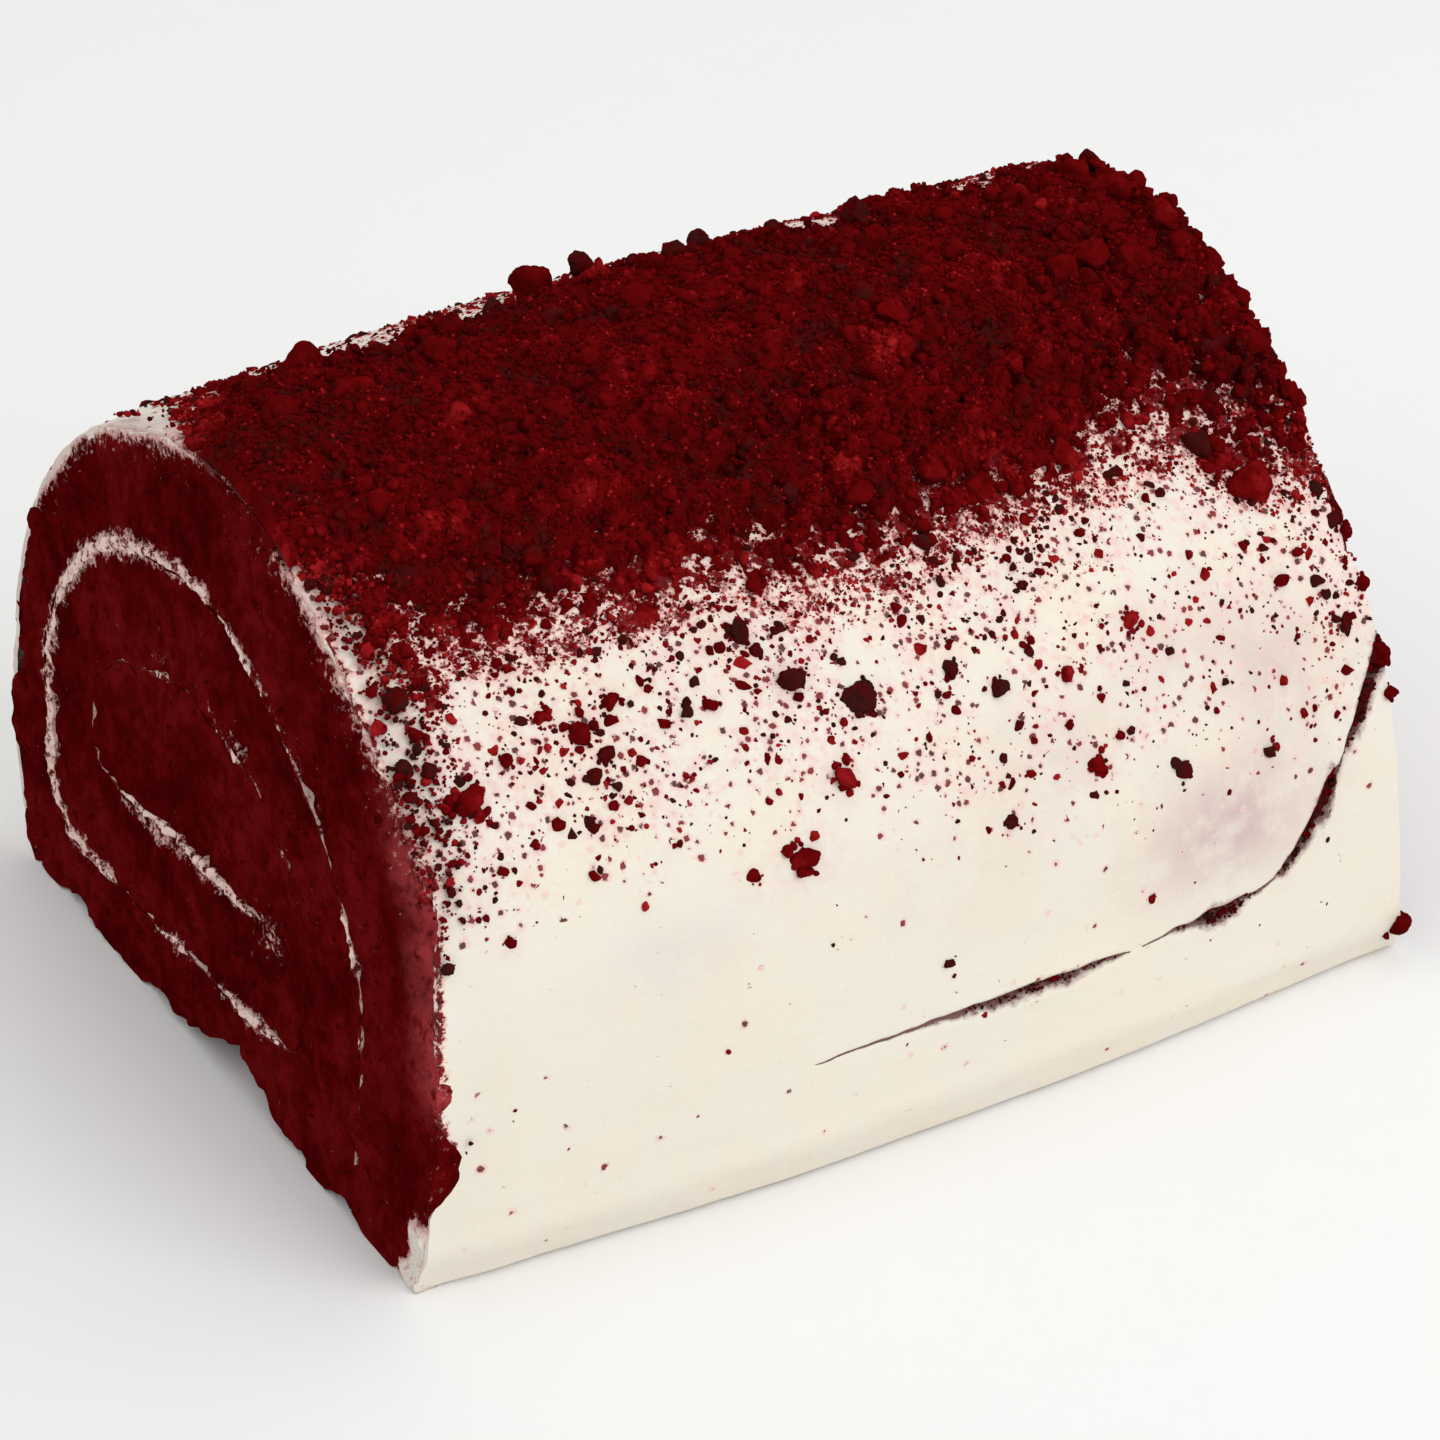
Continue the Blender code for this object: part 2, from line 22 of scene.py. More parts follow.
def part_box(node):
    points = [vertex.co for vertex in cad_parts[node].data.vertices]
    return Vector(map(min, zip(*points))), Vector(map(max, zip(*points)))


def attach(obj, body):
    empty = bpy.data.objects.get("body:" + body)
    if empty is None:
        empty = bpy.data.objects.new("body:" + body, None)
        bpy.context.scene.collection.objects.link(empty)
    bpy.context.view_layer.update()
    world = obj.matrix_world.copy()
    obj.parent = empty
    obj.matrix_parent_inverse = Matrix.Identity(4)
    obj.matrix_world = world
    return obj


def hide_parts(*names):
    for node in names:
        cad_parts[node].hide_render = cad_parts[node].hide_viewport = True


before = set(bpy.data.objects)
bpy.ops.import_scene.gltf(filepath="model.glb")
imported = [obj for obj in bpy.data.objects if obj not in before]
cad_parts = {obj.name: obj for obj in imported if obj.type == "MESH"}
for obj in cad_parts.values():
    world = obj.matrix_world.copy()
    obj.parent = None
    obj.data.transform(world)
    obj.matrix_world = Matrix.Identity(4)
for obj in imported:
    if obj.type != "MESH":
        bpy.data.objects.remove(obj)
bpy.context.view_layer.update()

LOG = logging.getLogger("swiss_roll")
MM = 0.001
HALF_TURN = math.pi
TURN = 2 * math.pi
POINTS_AT_ONCE = 2000

Array = np.ndarray
Triple = tuple[float, float, float]
Colour = Triple
Range = tuple[float, float]
Knots = tuple[Range, ...]
Spread = tuple[float, float, Range]
Draws = np.random.Generator
Socket = bpy.types.NodeSocket
Material = bpy.types.Material
Piece = bpy.types.Object


def rise(value: Array, start: float = 0.0, over: float = 1.0) -> Array:
    """Eases numbers from 0 at a start to 1, over a way."""
    share = np.clip((value - start) / over, 0.0, 1.0)
    return share * share * (3 - 2 * share)


def fall(value: Array, start: float, over: float) -> Array:
    """Eases numbers from 1 at a start to 0 further on, as rise does upwards."""
    return 1 - rise(value, start, over)


def bell(value: Array, middle: float, half: float, power: int = 2) -> Array:
    """Bell curve of height 1 round a middle. A power of 4 gives it a flat top and steep sides."""
    return np.exp(-(((value - middle) / half) ** power))


def between(value: Array, knots: Knots) -> Array:
    """Reads numbers between knots, each a place and the number there."""
    places, numbers = np.array(knots, float).T
    return np.interp(value, places, numbers)


def way_along(y: Array, z: Array) -> Array:
    """Length of a line from its first point to each of its points."""
    return np.concatenate([[0.0], np.cumsum(np.hypot(np.diff(y), np.diff(z)))])


def nearest(points: Array, line: Array) -> tuple[Array, Array]:
    """Finds the point of a line that lies nearest to each of many points.

    Args:
        points: The points, one a row.
        line: The line's points, one a row.

    Returns:
        The gaps, and the numbers of the nearest points in the line.
    """
    gaps, numbers = [], []
    for first in range(0, len(points), POINTS_AT_ONCE):
        gap = np.linalg.norm(points[first : first + POINTS_AT_ONCE, None] - line[None], axis=2)
        gaps.append(gap.min(1))
        numbers.append(gap.argmin(1))
    return np.concatenate(gaps), np.concatenate(numbers)


@dataclass(frozen=True)
class Spots:
    """Places on the skin: distances from the cut face and climbs from the front foot."""

    distance: Array
    climb: Array

    @classmethod
    def at(cls, distance: Array, climb: Array) -> "Spots":
        """Places that are given in millimetres."""
        return cls(np.asarray(distance) * MM, np.asarray(climb) * MM)

    def __len__(self) -> int:
        """How many places they are."""
        return len(self.climb)

    @property
    def mm(self) -> tuple[Array, Array]:
        """Distances and climbs in millimetres."""
        return self.distance / MM, self.climb / MM

    def of(self, chosen: Array) -> "Spots":
        """The chosen ones among the places."""
        return Spots(self.distance[chosen], self.climb[chosen])

    def moved(self, ahead: float, up: float) -> "Spots":
        """Places a little further from the cut or further up."""
        return Spots(self.distance + ahead, self.climb + up)


Field = Callable[[Spots], Array]


@dataclass(frozen=True)
class Patch:
    """A soft round patch on the skin: its middle, its half widths and how strong it is."""

    distance: float
    climb: float
    wide: float
    high: float
    strength: float

    def gap(self, spots: Spots) -> Array:
        """Squared way of places from the middle, in half widths."""
        d, c = spots.mm
        return ((d - self.distance) / self.wide) ** 2 + ((c - self.climb) / self.high) ** 2


class Unevenness:
    """Smooth seeded noise over space, from about -1 to 1."""

    def __init__(self, seed: int) -> None:
        """Draws the noise's slopes.

        Args:
            seed: Number that the slopes follow from.
        """
        rng = np.random.default_rng(seed)
        self.order = rng.permutation(256)
        slopes = rng.normal(size=(256, 3))
        self.slopes = slopes / np.linalg.norm(slopes, axis=1, keepdims=True)

    def at(self, points: Array, size: float) -> Array:
        """Noise at points.

        Args:
            points: Places, one a row.
            size: Width of a bump.

        Returns:
            A number for each point.
        """
        place = points / size
        cell = np.floor(place).astype(np.int64)
        inside = place - cell
        ease = inside**3 * (inside * (inside * 6 - 15) + 10)
        total = np.zeros(len(points))
        for corner in np.ndindex(2, 2, 2):
            x, y, z = ((cell + corner) & 255).T
            pick = self.order[(self.order[(self.order[x] + y) & 255] + z) & 255]
            lean = np.einsum("ij,ij->i", self.slopes[pick], inside - corner)
            total += lean * np.prod(np.where(np.array(corner, bool), ease, 1 - ease), axis=1)
        return 1.7 * total

    def over(
        self, first: Array, second: Array, *layers: tuple, base: float = 0.0, unit: float = MM
    ) -> Array:
        """Sum of noises over a surface that two numbers place.

        Args:
            first: One number for each point.
            second: The other number for each point.
            layers: For each noise its strength, the width of a bump in units, and which of many it is.
            base: What they are added to.
            unit: Unit of the widths.

        Returns:
            A number for each point, in the shape of the two.
        """
        first, second = np.broadcast_arrays(np.asarray(first, float), np.asarray(second, float))
        total = base
        for strength, width, layer in layers:
            size = width * unit
            points = np.stack([first, second, np.full(first.shape, layer * size)], -1).reshape(-1, 3)
            total = total + strength * self.at(points, size).reshape(first.shape)
        return total

    def on(self, spots: Spots, *layers: tuple, base: float = 0.0) -> Array:
        """Sum of noises over the skin, each a strength, a width in millimetres and a number."""
        return self.over(spots.distance, spots.climb, *layers, base=base)


KNIFE = Unevenness(3)
TORN = Unevenness(8)
SCATTER = Unevenness(21)


class Mesh:
    """Points and faces under construction, with named numbers for each point."""

    def __init__(self, *names: str, soft: bool = True) -> None:
        """Starts empty.

        Args:
            names: What each point carries a number of.
            soft: Whether the faces are shaded as one smooth surface.
        """
        self.soft = soft
        self.points: list[Array] = []
        self.faces: list[Array] = []
        self.values: dict[str, list[Array]] = {name: [] for name in names}
        self.count = 0

    def add(self, points: Array, faces: Array, **values: Array) -> None:
        """Adds points and faces.

        Args:
            points: Places, one a row.
            faces: Point numbers, one face a row, counted from these points.
            values: Numbers for the points, 0 where a name is left out.
        """
        self.points.append(points)
        self.faces.append(faces + self.count)
        for name, parts in self.values.items():
            parts.append(np.broadcast_to(np.asarray(values.get(name, 0.0), float), (len(points),)))
        self.count += len(points)

    def grid(self, points: Array, turned: bool = False, **values: Array) -> None:
        """Adds a grid of four-sided faces.

        Args:
            points: Places by row and column.
            turned: Whether the faces look the other way.
            values: Numbers for the points by row and column.
        """
        rows, columns = points.shape[:2]
        index = np.arange(rows * columns).reshape(rows, columns)
        faces = np.stack([index[:-1, :-1], index[1:, :-1], index[1:, 1:], index[:-1, 1:]], -1).reshape(-1, 4)
        flat = {name: np.asarray(value, float).reshape(-1) for name, value in values.items()}
        self.add(points.reshape(-1, 3), faces[:, ::-1] if turned else faces, **flat)

    def build(self, name: str, material: Material) -> Piece:
        """Makes the object.

        Args:
            name: The object's name.
            material: Its finish.

        Returns:
            The object, in the scene.
        """
        mesh = bpy.data.meshes.new(name)
        points = np.concatenate(self.points).astype(np.float32)
        corners = np.concatenate([faces.reshape(-1) for faces in self.faces]).astype(np.int32)
        sizes = np.concatenate([np.full(len(faces), faces.shape[1]) for faces in self.faces])
        mesh.vertices.add(len(points))
        mesh.vertices.foreach_set("co", points.ravel())
        mesh.loops.add(len(corners))
        mesh.loops.foreach_set("vertex_index", corners)
        mesh.polygons.add(len(sizes))
        mesh.polygons.foreach_set("loop_start", (np.cumsum(sizes) - sizes).astype(np.int32))
        for label, parts in self.values.items():
            numbers = np.concatenate(parts).astype(np.float32)
            mesh.attributes.new(label, "FLOAT", "POINT").data.foreach_set("value", numbers)
        mesh.update(calc_edges=True)
        mesh.polygons.foreach_set("use_smooth", np.full(len(sizes), self.soft))
        mesh.materials.append(material)
        piece = bpy.data.objects.new(name, mesh)
        bpy.context.scene.collection.objects.link(piece)
        return piece


@dataclass(frozen=True)
class RollSizes:
    """Sizes of the roll's form, the same as its solids have."""

    length: float = 110 * MM
    width: float = 99 * MM
    height: float = 65.5 * MM
    waist_share: float = 0.355
    front_roundness: float = 1.76
    back_roundness: float = 2.1
    front_foot_squareness: float = 6.0
    back_foot_squareness: float = 3.0
    front_press: float = 9.0 * MM
    back_press: float = 9.8 * MM
    icing_foot: float = 0.5 * MM
    left_lean: float = 0.096
    left_swing: float = -0.018
    right_lean: float = -0.125
    right_bulge: float = 8 * MM
    right_foot: float = 2.5 * MM
    end_narrowing: float = 0.045
    end_drop: float = 0.025
    end_round: float = 45 * MM
    icing: float = 1.4 * MM
    rim_icing: float = 0.5 * MM
    rim_reach: float = 9 * MM
    sheet_pitch: float = 10.9 * MM
    turns: float = 2.1
    core_start: float = 0.42
    core_depth: float = 31 * MM
    roll_shift: float = 5.5 * MM
    cream: float = 1.3 * MM
    cream_roundness: float = 1.6
    cream_squareness: float = 6.0
    slump_side: float = 1.5 * MM
    slump_top: float = 2.6 * MM
    slump_base: float = -8.3 * MM
    least_reach: float = 1.6 * MM
    cream_stations: tuple[float, ...] = (0.0, 0.03, 0.08, 0.16, 0.34, 0.56, 0.78, 0.95, 1.0)
    steps_per_turn: int = 30

    @property
    def waist(self) -> float:
        """Height of the roll's widest level."""
        return self.waist_share * self.height


class Roll:
    """The roll's form: its section, its spiral, and its places in the row frame."""

    def __init__(self, sizes: RollSizes) -> None:
        """Measures the way over the skin and the form's place.

        Args:
            sizes: Sizes of the form.
        """
        self.sizes = sizes
        self.shift = np.zeros(3)
        front = self.foot_turn(0.0, sizes.icing_foot, 3 * HALF_TURN, 3.5 * HALF_TURN)
        back = self.foot_turn(0.0, sizes.icing_foot, 2 * HALF_TURN, 1.5 * HALF_TURN)
        self.turn_table = np.linspace(front, back, 4001)
        self.climb_table = way_along(*self.skin(self.turn_table, 0.0))
        self.shift = self.find_shift()

    @property
    def full_climb(self) -> float:
        """Climb from the front foot to the back foot."""
        return float(self.climb_table[-1])

    def stations(self, distances: tuple[float, ...]) -> list[float]:
        """Shares of the length at distances in millimetres, between those of both cuts."""
        return [0.0, *(distance * MM / self.sizes.length for distance in distances), 1.0]

    def skin(self, turn: Array, inset: Array, floor: float = 0.0) -> tuple[Array, Array]:
        """Point of the section at a depth under its outside.

        Args:
            turn: Angles round the roll.
            inset: Depth under the outside.
            floor: Height that the point doesn't go below.

        Returns:
            The points' y and z before the ends' narrowing.
        """
        size = self.sizes
        c, s = np.cos(turn), np.sin(turn)
        back, above = c > 0, s > 0
        over = np.where(back, size.back_roundness, size.front_roundness)
        under = np.where(back, size.back_foot_squareness, size.front_foot_squareness)
        power = np.where(above, over, under)
        press = np.where(back, size.back_press, size.front_press)
        tall = np.where(above, size.height - size.waist - inset, size.waist + press)
        reach = (np.abs(c) ** power + np.abs(s) ** power) ** (-1 / power)
        return (size.width / 2 - inset) * c * reach, np.maximum(floor, size.waist + tall * s * reach)

    def foot_turn(self, inset: float, level: float, near: float, far: float) -> float:
        """Turn at which the skin passes a level.

        Args:
            inset: Depth under the outside.
            level: Height to find.
            near: Turn above the level.
            far: Turn below it.

        Returns:
            The turn.
        """
        for _ in range(40):
            middle = (near + far) / 2
            if self.skin(np.array(middle), inset, -1.0)[1] > level:
                near = middle
            else:
                far = middle
        return near

    def place(self, along: Array, y: Array, z: Array) -> Array:
        """Places in the row frame at a share of the length.

        Args:
            along: Shares of the length from the cut face.
            y: Points' y in the section.
            z: Points' z in the section.

        Returns:
            The places, with x, y and z last.
        """
        size = self.sizes
        along, y, z = np.broadcast_arrays(np.asarray(along, float), y, z)
        left_end = fall(along * size.length, 0, size.end_round)
        right_end = fall((1 - along) * size.length, 0, size.end_round)
        left = size.left_lean * z + size.left_swing * (y + size.width / 2)
        bulge = size.right_bulge * np.sin(0.75 * math.pi * (y / size.width + 0.5))
        right = size.right_lean * z + bulge + size.right_foot
        x = -size.length / 2 + along * size.length + (1 - along) * left + along * right
        narrow = 1 - size.end_narrowing * (left_end + right_end)
        return np.stack([x, y * narrow, z * (1 - size.end_drop * left_end)], -1) + self.shift

    def cream_edge(self, turn: Array, outward: Array) -> tuple[Array, Array]:
        """Point beside the cream's middle line.

        Args:
            turn: Angles along the spiral, from its inner end.
            outward: How far out of the line the point lies.

        Returns:
            The points' y and z.
        """
        size = self.sizes
        depth = size.core_depth - size.sheet_pitch * (turn - HALF_TURN) / TURN - outward
        c, s = np.cos(turn), np.sin(turn)
        above = s > 0
        across = size.width / 2 - depth - size.slump_side
        upper = size.height - size.waist - depth - size.slump_top
        tall = np.where(above, upper, size.waist - depth - size.slump_base)
        over = np.where(c > 0, size.back_roundness, size.cream_roundness)
        power = np.where(above, over, size.cream_squareness)
        reach = (np.abs(c) ** power + np.abs(s) ** power) ** (-1 / power)
        least = size.least_reach + outward
        y = np.maximum(across, least) * c * reach
        return size.roll_shift + y, size.waist + np.maximum(tall, least) * s * reach

    def find_shift(self) -> Array:
        """Finds how far the solids were moved onto the origin, from where their cream lies.

        Returns:
            The shift.
        """
        size = self.sizes
        steps = np.arange(2, round(size.turns * size.steps_per_turn) + 1)
        turns = HALF_TURN + TURN * steps / size.steps_per_turn
        turns[0] += 0.03
        swell = np.array([1 + 0.45 * noise.noise(Vector((turn / 1.1, 0.0, 3.7))) for turn in turns])
        ends = rise(turns, HALF_TURN, 0.9) * rise(HALF_TURN + size.turns * TURN - turns, 0, 1.2)
        half = size.cream * swell * (0.45 + 0.55 * ends) / 2
        rings = []
        for along in size.cream_stations:
            for side in (half, -half):
                rings.append(self.place(along, *self.cream_edge(turns, side)))
        points = np.concatenate(rings)
        low, high = (np.array(corner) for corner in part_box("cream_filling"))
        shift = (low + high) / 2 - (points.min(0) + points.max(0)) / 2
        LOG.info("the solids lie %.2f, %.2f, %.2f mm off the form", *(shift / MM))
        return np.array([shift[0], shift[1], 0.0])

    def on_skin(self, spots: Spots, lift: Array, floor: float = 0.0) -> Array:
        """Places over the skin.

        Args:
            spots: Where on it.
            lift: Heights over it.
            floor: Height that a place doesn't go below.

        Returns:
            The places, with x, y and z last.
        """
        turn = np.interp(spots.climb, self.climb_table, self.turn_table)
        y, z = self.skin(turn, -np.asarray(lift, float), floor)
        return self.place(np.asarray(spots.distance, float) / self.sizes.length, y, z)

    def outward(self, spots: Spots) -> Array:
        """Directions away from the skin.

        Args:
            spots: Where on it.

        Returns:
            Unit directions, one a row.
        """
        step = 0.4 * MM
        across = self.on_skin(spots.moved(0, step), 0.0) - self.on_skin(spots.moved(0, -step), 0.0)
        ahead = self.on_skin(spots.moved(step, 0), 0.0) - self.on_skin(spots.moved(-step, 0), 0.0)
        normal = np.cross(ahead, across)
        return normal / np.linalg.norm(normal, axis=-1, keepdims=True)


class Effect(Enum):
    """Effects that more than one finish uses, by the names of their node groups."""

    OPEN_CRUMB = "open_crumb"
    SPREAD = "soft_spread"
    DUST = "crumb_dust"


class Graph:
    """Adds nodes to a node tree, one call each. What goes into a node is a socket or a value."""

    def __init__(self, tree: bpy.types.NodeTree) -> None:
        """Takes the tree that the nodes go into."""
        self.tree = tree

    def add(self, kind: str, feeds: dict | None = None, **settings: object) -> bpy.types.Node:
        """Adds a node.

        Args:
            kind: Its type's name.
            feeds: What goes into its inputs, by name or number.
            settings: Its own settings.

        Returns:
            The node.
        """
        node = self.tree.nodes.new(kind)
        for name, value in settings.items():
            setattr(node, name, value)
        for name, value in (feeds or {}).items():
            self.feed(node.inputs[name], value)
        return node

    def feed(self, socket: Socket, value: object) -> None:
        """Links a socket into another, or sets its value."""
        if isinstance(value, Socket):
            self.tree.links.new(value, socket)
        else:
            socket.default_value = value

    def where(self) -> Socket:
        """Places on the piece, in metres."""
        return self.add("ShaderNodeTexCoord").outputs["Object"]

    def number(self, name: str) -> Socket:
        """The number that each point of the piece carries under a name."""
        return self.add("ShaderNodeAttribute", attribute_name=name).outputs["Fac"]

    def clouds(self, place: Socket, size: float, detail: float = 3.0, rough: float = 0.55) -> Socket:
        """Soft noise of 0 to 1, in clouds of a size with finer layers, which are as strong as rough says."""
        feeds = {"Vector": place, "Scale": 1 / size, "Detail": detail, "Roughness": rough}
        return self.add("ShaderNodeTexNoise", feeds).outputs["Fac"]

    def cells(self, place: Socket, size: float) -> bpy.types.Node:
        """Cells of a width round scattered points."""
        return self.add("ShaderNodeTexVoronoi", {"Vector": place, "Scale": 1 / size})

    def math(self, operation: str, *numbers: object) -> Socket:
        """One step of arithmetic."""
        return self.add("ShaderNodeMath", dict(enumerate(numbers)), operation=operation).outputs[0]

    def times(self, first: object, second: object) -> Socket:
        """Product of two numbers."""
        return self.math("MULTIPLY", first, second)

    def plus(self, *numbers: object) -> Socket:
        """Sum of numbers."""
        return reduce(lambda total, number: self.math("ADD", total, number), numbers)

    def minus(self, first: object, second: object) -> Socket:
        """One number less another."""
        return self.math("SUBTRACT", first, second)

    def vector(self, operation: str, feeds: dict) -> Socket:
        """One step of arithmetic with vectors."""
        return self.add("ShaderNodeVectorMath", feeds, operation=operation).outputs[0]

    def ease(self, value: object, low: object, high: object, start: float = 0.0, end: float = 1.0) -> Socket:
        """Eases a number from start, where it is low or less, to end, where it is high or more."""
        feeds = {"Value": value, "From Min": low, "From Max": high, "To Min": start, "To Max": end}
        return self.add("ShaderNodeMapRange", feeds, interpolation_type="SMOOTHSTEP").outputs[0]

    def blend(self, share: object, first: object, second: object) -> Socket:
        """Blends two colours.

        Args:
            share: How much of the second shows.
            first: First colour, as a socket or three numbers.
            second: Second colour.

        Returns:
            The colour.
        """
        node = self.add("ShaderNodeMix", {0: share}, data_type="RGBA")
        for slot, colour in ((6, first), (7, second)):
            self.feed(node.inputs[slot], colour if isinstance(colour, Socket) else (*colour, 1.0))
        return node.outputs[2]

    def shades(self, value: object, stops: list[tuple[float, Colour]]) -> Socket:
        """Turns a number into a colour.

        Args:
            value: The number, 0 to 1.
            stops: Colours and where they lie.

        Returns:
            The colour.
        """
        node = self.add("ShaderNodeValToRGB", {"Fac": value})
        ramp = node.color_ramp
        while len(ramp.elements) < len(stops):
            ramp.elements.new(0.5)
        for element, (position, colour) in zip(ramp.elements, stops):
            element.position = position
            element.color = (*colour, 1.0)
        return node.outputs["Color"]

    def relief(self, height: Socket, depth: float, strength: float) -> Socket:
        """Turns heights of 0 to 1, with a full depth, into a bent normal."""
        feeds = {"Height": height, "Distance": depth, "Strength": strength}
        return self.add("ShaderNodeBump", feeds).outputs[0]

    def effect(self, effect: Effect, **values: object) -> bpy.types.Node:
        """Places a shared effect, with what goes into its inputs."""
        return self.add("ShaderNodeGroup", values, node_tree=bpy.data.node_groups[effect.value])


class Effects:
    """The shared effects, each built once as a node group."""

    def build(self) -> None:
        """Builds the groups."""
        self.open_crumb()
        self.spread()
        self.dust()

    def start(self, effect: Effect, *inputs: str) -> tuple[Graph, bpy.types.Node, Socket]:
        """Starts a group that reads places and a grain.

        Args:
            effect: Which one.
            inputs: Names of its other inputs.

        Returns:
            Its graph, the node that its inputs come from, and the places divided by the grain.
        """
        tree = bpy.data.node_groups.new(effect.value, "ShaderNodeTree")
        for name in ("Place", "Grain", *inputs):
            kind = "NodeSocketVector" if name == "Place" else "NodeSocketFloat"
            tree.interface.new_socket(name, in_out="INPUT", socket_type=kind)
        graph = Graph(tree)
        entry = graph.add("NodeGroupInput")
        inverse = graph.math("DIVIDE", 1.0, entry.outputs["Grain"])
        return graph, entry, graph.vector("SCALE", {0: entry.outputs["Place"], "Scale": inverse})

    def end(self, graph: Graph, **outputs: Socket) -> None:
        """Gives a group its outputs."""
        for name in outputs:
            graph.tree.interface.new_socket(name, in_out="OUTPUT", socket_type="NodeSocketFloat")
        graph.add("NodeGroupOutput", outputs)

    def open_crumb(self) -> None:
        """Torn cake: clumps as wide as Grain, with open pores between them, as Height, the pores' mask and
        Tone. The finishes darken the pores with that mask, as painted shade.
        """
        graph, _, place = self.start(Effect.OPEN_CRUMB)
        ragged = graph.clouds(place, 1.7, 4.0, 0.65)
        clump = graph.minus(1.0, graph.cells(place, 1.0).outputs["Distance"])
        small = graph.minus(1.0, graph.cells(place, 0.42).outputs["Distance"])
        pores = graph.ease(graph.clouds(place, 0.9, 3.0, 0.6), 0.40, 0.26)
        height = graph.plus(graph.times(clump, 0.45), graph.times(small, 0.2), graph.times(ragged, 0.5))
        height = graph.minus(height, graph.times(pores, 0.45))
        tone = graph.ease(graph.clouds(place, 2.6, 4.0, 0.6), 0.32, 0.68)
        # The pores' mask goes out for the finishes to paint shade into the pores.
        self.end(graph, Height=height, Pores=pores, Tone=tone)

    def spread(self) -> None:
        """Cream or icing drawn out along the roll in streaks as wide as Grain, as Height and Mottle."""
        graph, _, place = self.start(Effect.SPREAD)
        streaks = graph.clouds(graph.vector("MULTIPLY", {0: place, 1: (0.22, 1.0, 1.0)}), 1.0, 3.0, 0.6)
        height = graph.plus(graph.times(streaks, 0.75), graph.times(graph.clouds(place, 0.3, 2.0, 0.5), 0.25))
        self.end(graph, Height=height, Mottle=graph.ease(graph.clouds(place, 4.0, 4.0, 0.6), 0.35, 0.65))

    def dust(self) -> None:
        """Fine crumbs stuck in icing, each with room as wide as Grain, as Mask and the Stain round it."""
        graph, entry, place = self.start(Effect.DUST, "Density")
        ragged = graph.add("ShaderNodeTexNoise", {"Vector": place, "Scale": 3.0, "Detail": 2.0})
        ragged = ragged.outputs["Color"]
        cells = graph.cells(graph.vector("MULTIPLY_ADD", {0: ragged, 1: (0.5, 0.5, 0.5), 2: place}), 1.0)
        lot = graph.add("ShaderNodeSeparateColor", {0: cells.outputs["Color"]})
        reach = graph.times(graph.plus(lot.outputs[1], 0.3), 0.34)
        inside = graph.ease(cells.outputs["Distance"], reach, graph.times(reach, 0.7))
        ring = graph.ease(cells.outputs["Distance"], graph.times(reach, 2.3), reach)
        chosen = graph.math("LESS_THAN", lot.outputs[0], entry.outputs["Density"])
        self.end(graph, Mask=graph.times(inside, chosen), Stain=graph.times(ring, chosen))


class Finish:
    """A finish, which becomes a material with one shader."""

    name = ""

    def inputs(self, graph: Graph) -> dict[str, object]:
        """What goes into the shader's inputs, by their names."""
        raise NotImplementedError

    def make(self) -> Material:
        """Builds the material.

        Returns:
            The material.
        """
        material = bpy.data.materials.new(self.name)
        material.use_nodes = True
        shader = material.node_tree.nodes["Principled BSDF"]
        graph = Graph(material.node_tree)
        for name, value in self.inputs(graph).items():
            graph.feed(shader.inputs[name], value)
        return material


@dataclass(frozen=True)
class SpongeFinish(Finish):
    """Red velvet sponge torn open by the knife, with bare skin at the rim."""

    name: str = "sponge_torn"
    # The dark colour is also the painted shade in the torn crumb's hollows and pores.
    dark: Colour = (0.050, 0.0008, 0.0010)
    middle: Colour = (0.088, 0.0014, 0.0018)
    light: Colour = (0.140, 0.0045, 0.0060)
    skin: Colour = (0.42, 0.052, 0.060)
    stain: Colour = (0.70, 0.42, 0.38)
    icing: Colour = (0.83, 0.77, 0.69)
    grain: float = 1.1 * MM
    depth: float = 0.55 * MM

    def inputs(self, graph: Graph) -> dict[str, object]:
        """What goes into the shader.

        Args:
            graph: The material's graph.

        Returns:
            Sockets and values by the names of the inputs.
        """
        place = graph.where()
        crumb = graph.effect(Effect.OPEN_CRUMB, Place=place, Grain=self.grain).outputs
        broad = graph.ease(graph.clouds(place, 14 * MM, 3.0), 0.35, 0.65, -0.2, 0.2)
        # Painted shade: the tone rises with the torn crumb's height, so its hollows are darker, and the pores
        # are blended towards the dark colour.
        tone = graph.plus(graph.times(crumb["Tone"], 0.4), graph.times(crumb["Height"], 0.45), 0.08, broad)
        colour = graph.shades(tone, [(0.15, self.dark), (0.5, self.middle), (0.88, self.light)])
        colour = graph.blend(graph.times(crumb["Pores"], 0.7), colour, self.dark)
        streaks = graph.ease(graph.clouds(place, 1.6 * MM, 4.0, 0.7), 0.30, 0.58)
        colour = graph.blend(graph.times(graph.number("skin"), streaks), colour, self.skin)
        smeared = graph.times(graph.number("smear"), 0.36)
        flecks = graph.plus(graph.clouds(place, 0.75 * MM, 4.0, 0.7), smeared)
        smear = graph.blend(graph.ease(flecks, 0.88, 1.05), self.stain, self.icing)
        return {
            "Base Color": graph.blend(graph.ease(flecks, 0.68, 0.86, 0.0, 0.95), colour, smear),
            "Normal": graph.relief(crumb["Height"], self.depth, 0.9),
            "Roughness": 0.95,
            "Specular IOR Level": 0.0,
        }


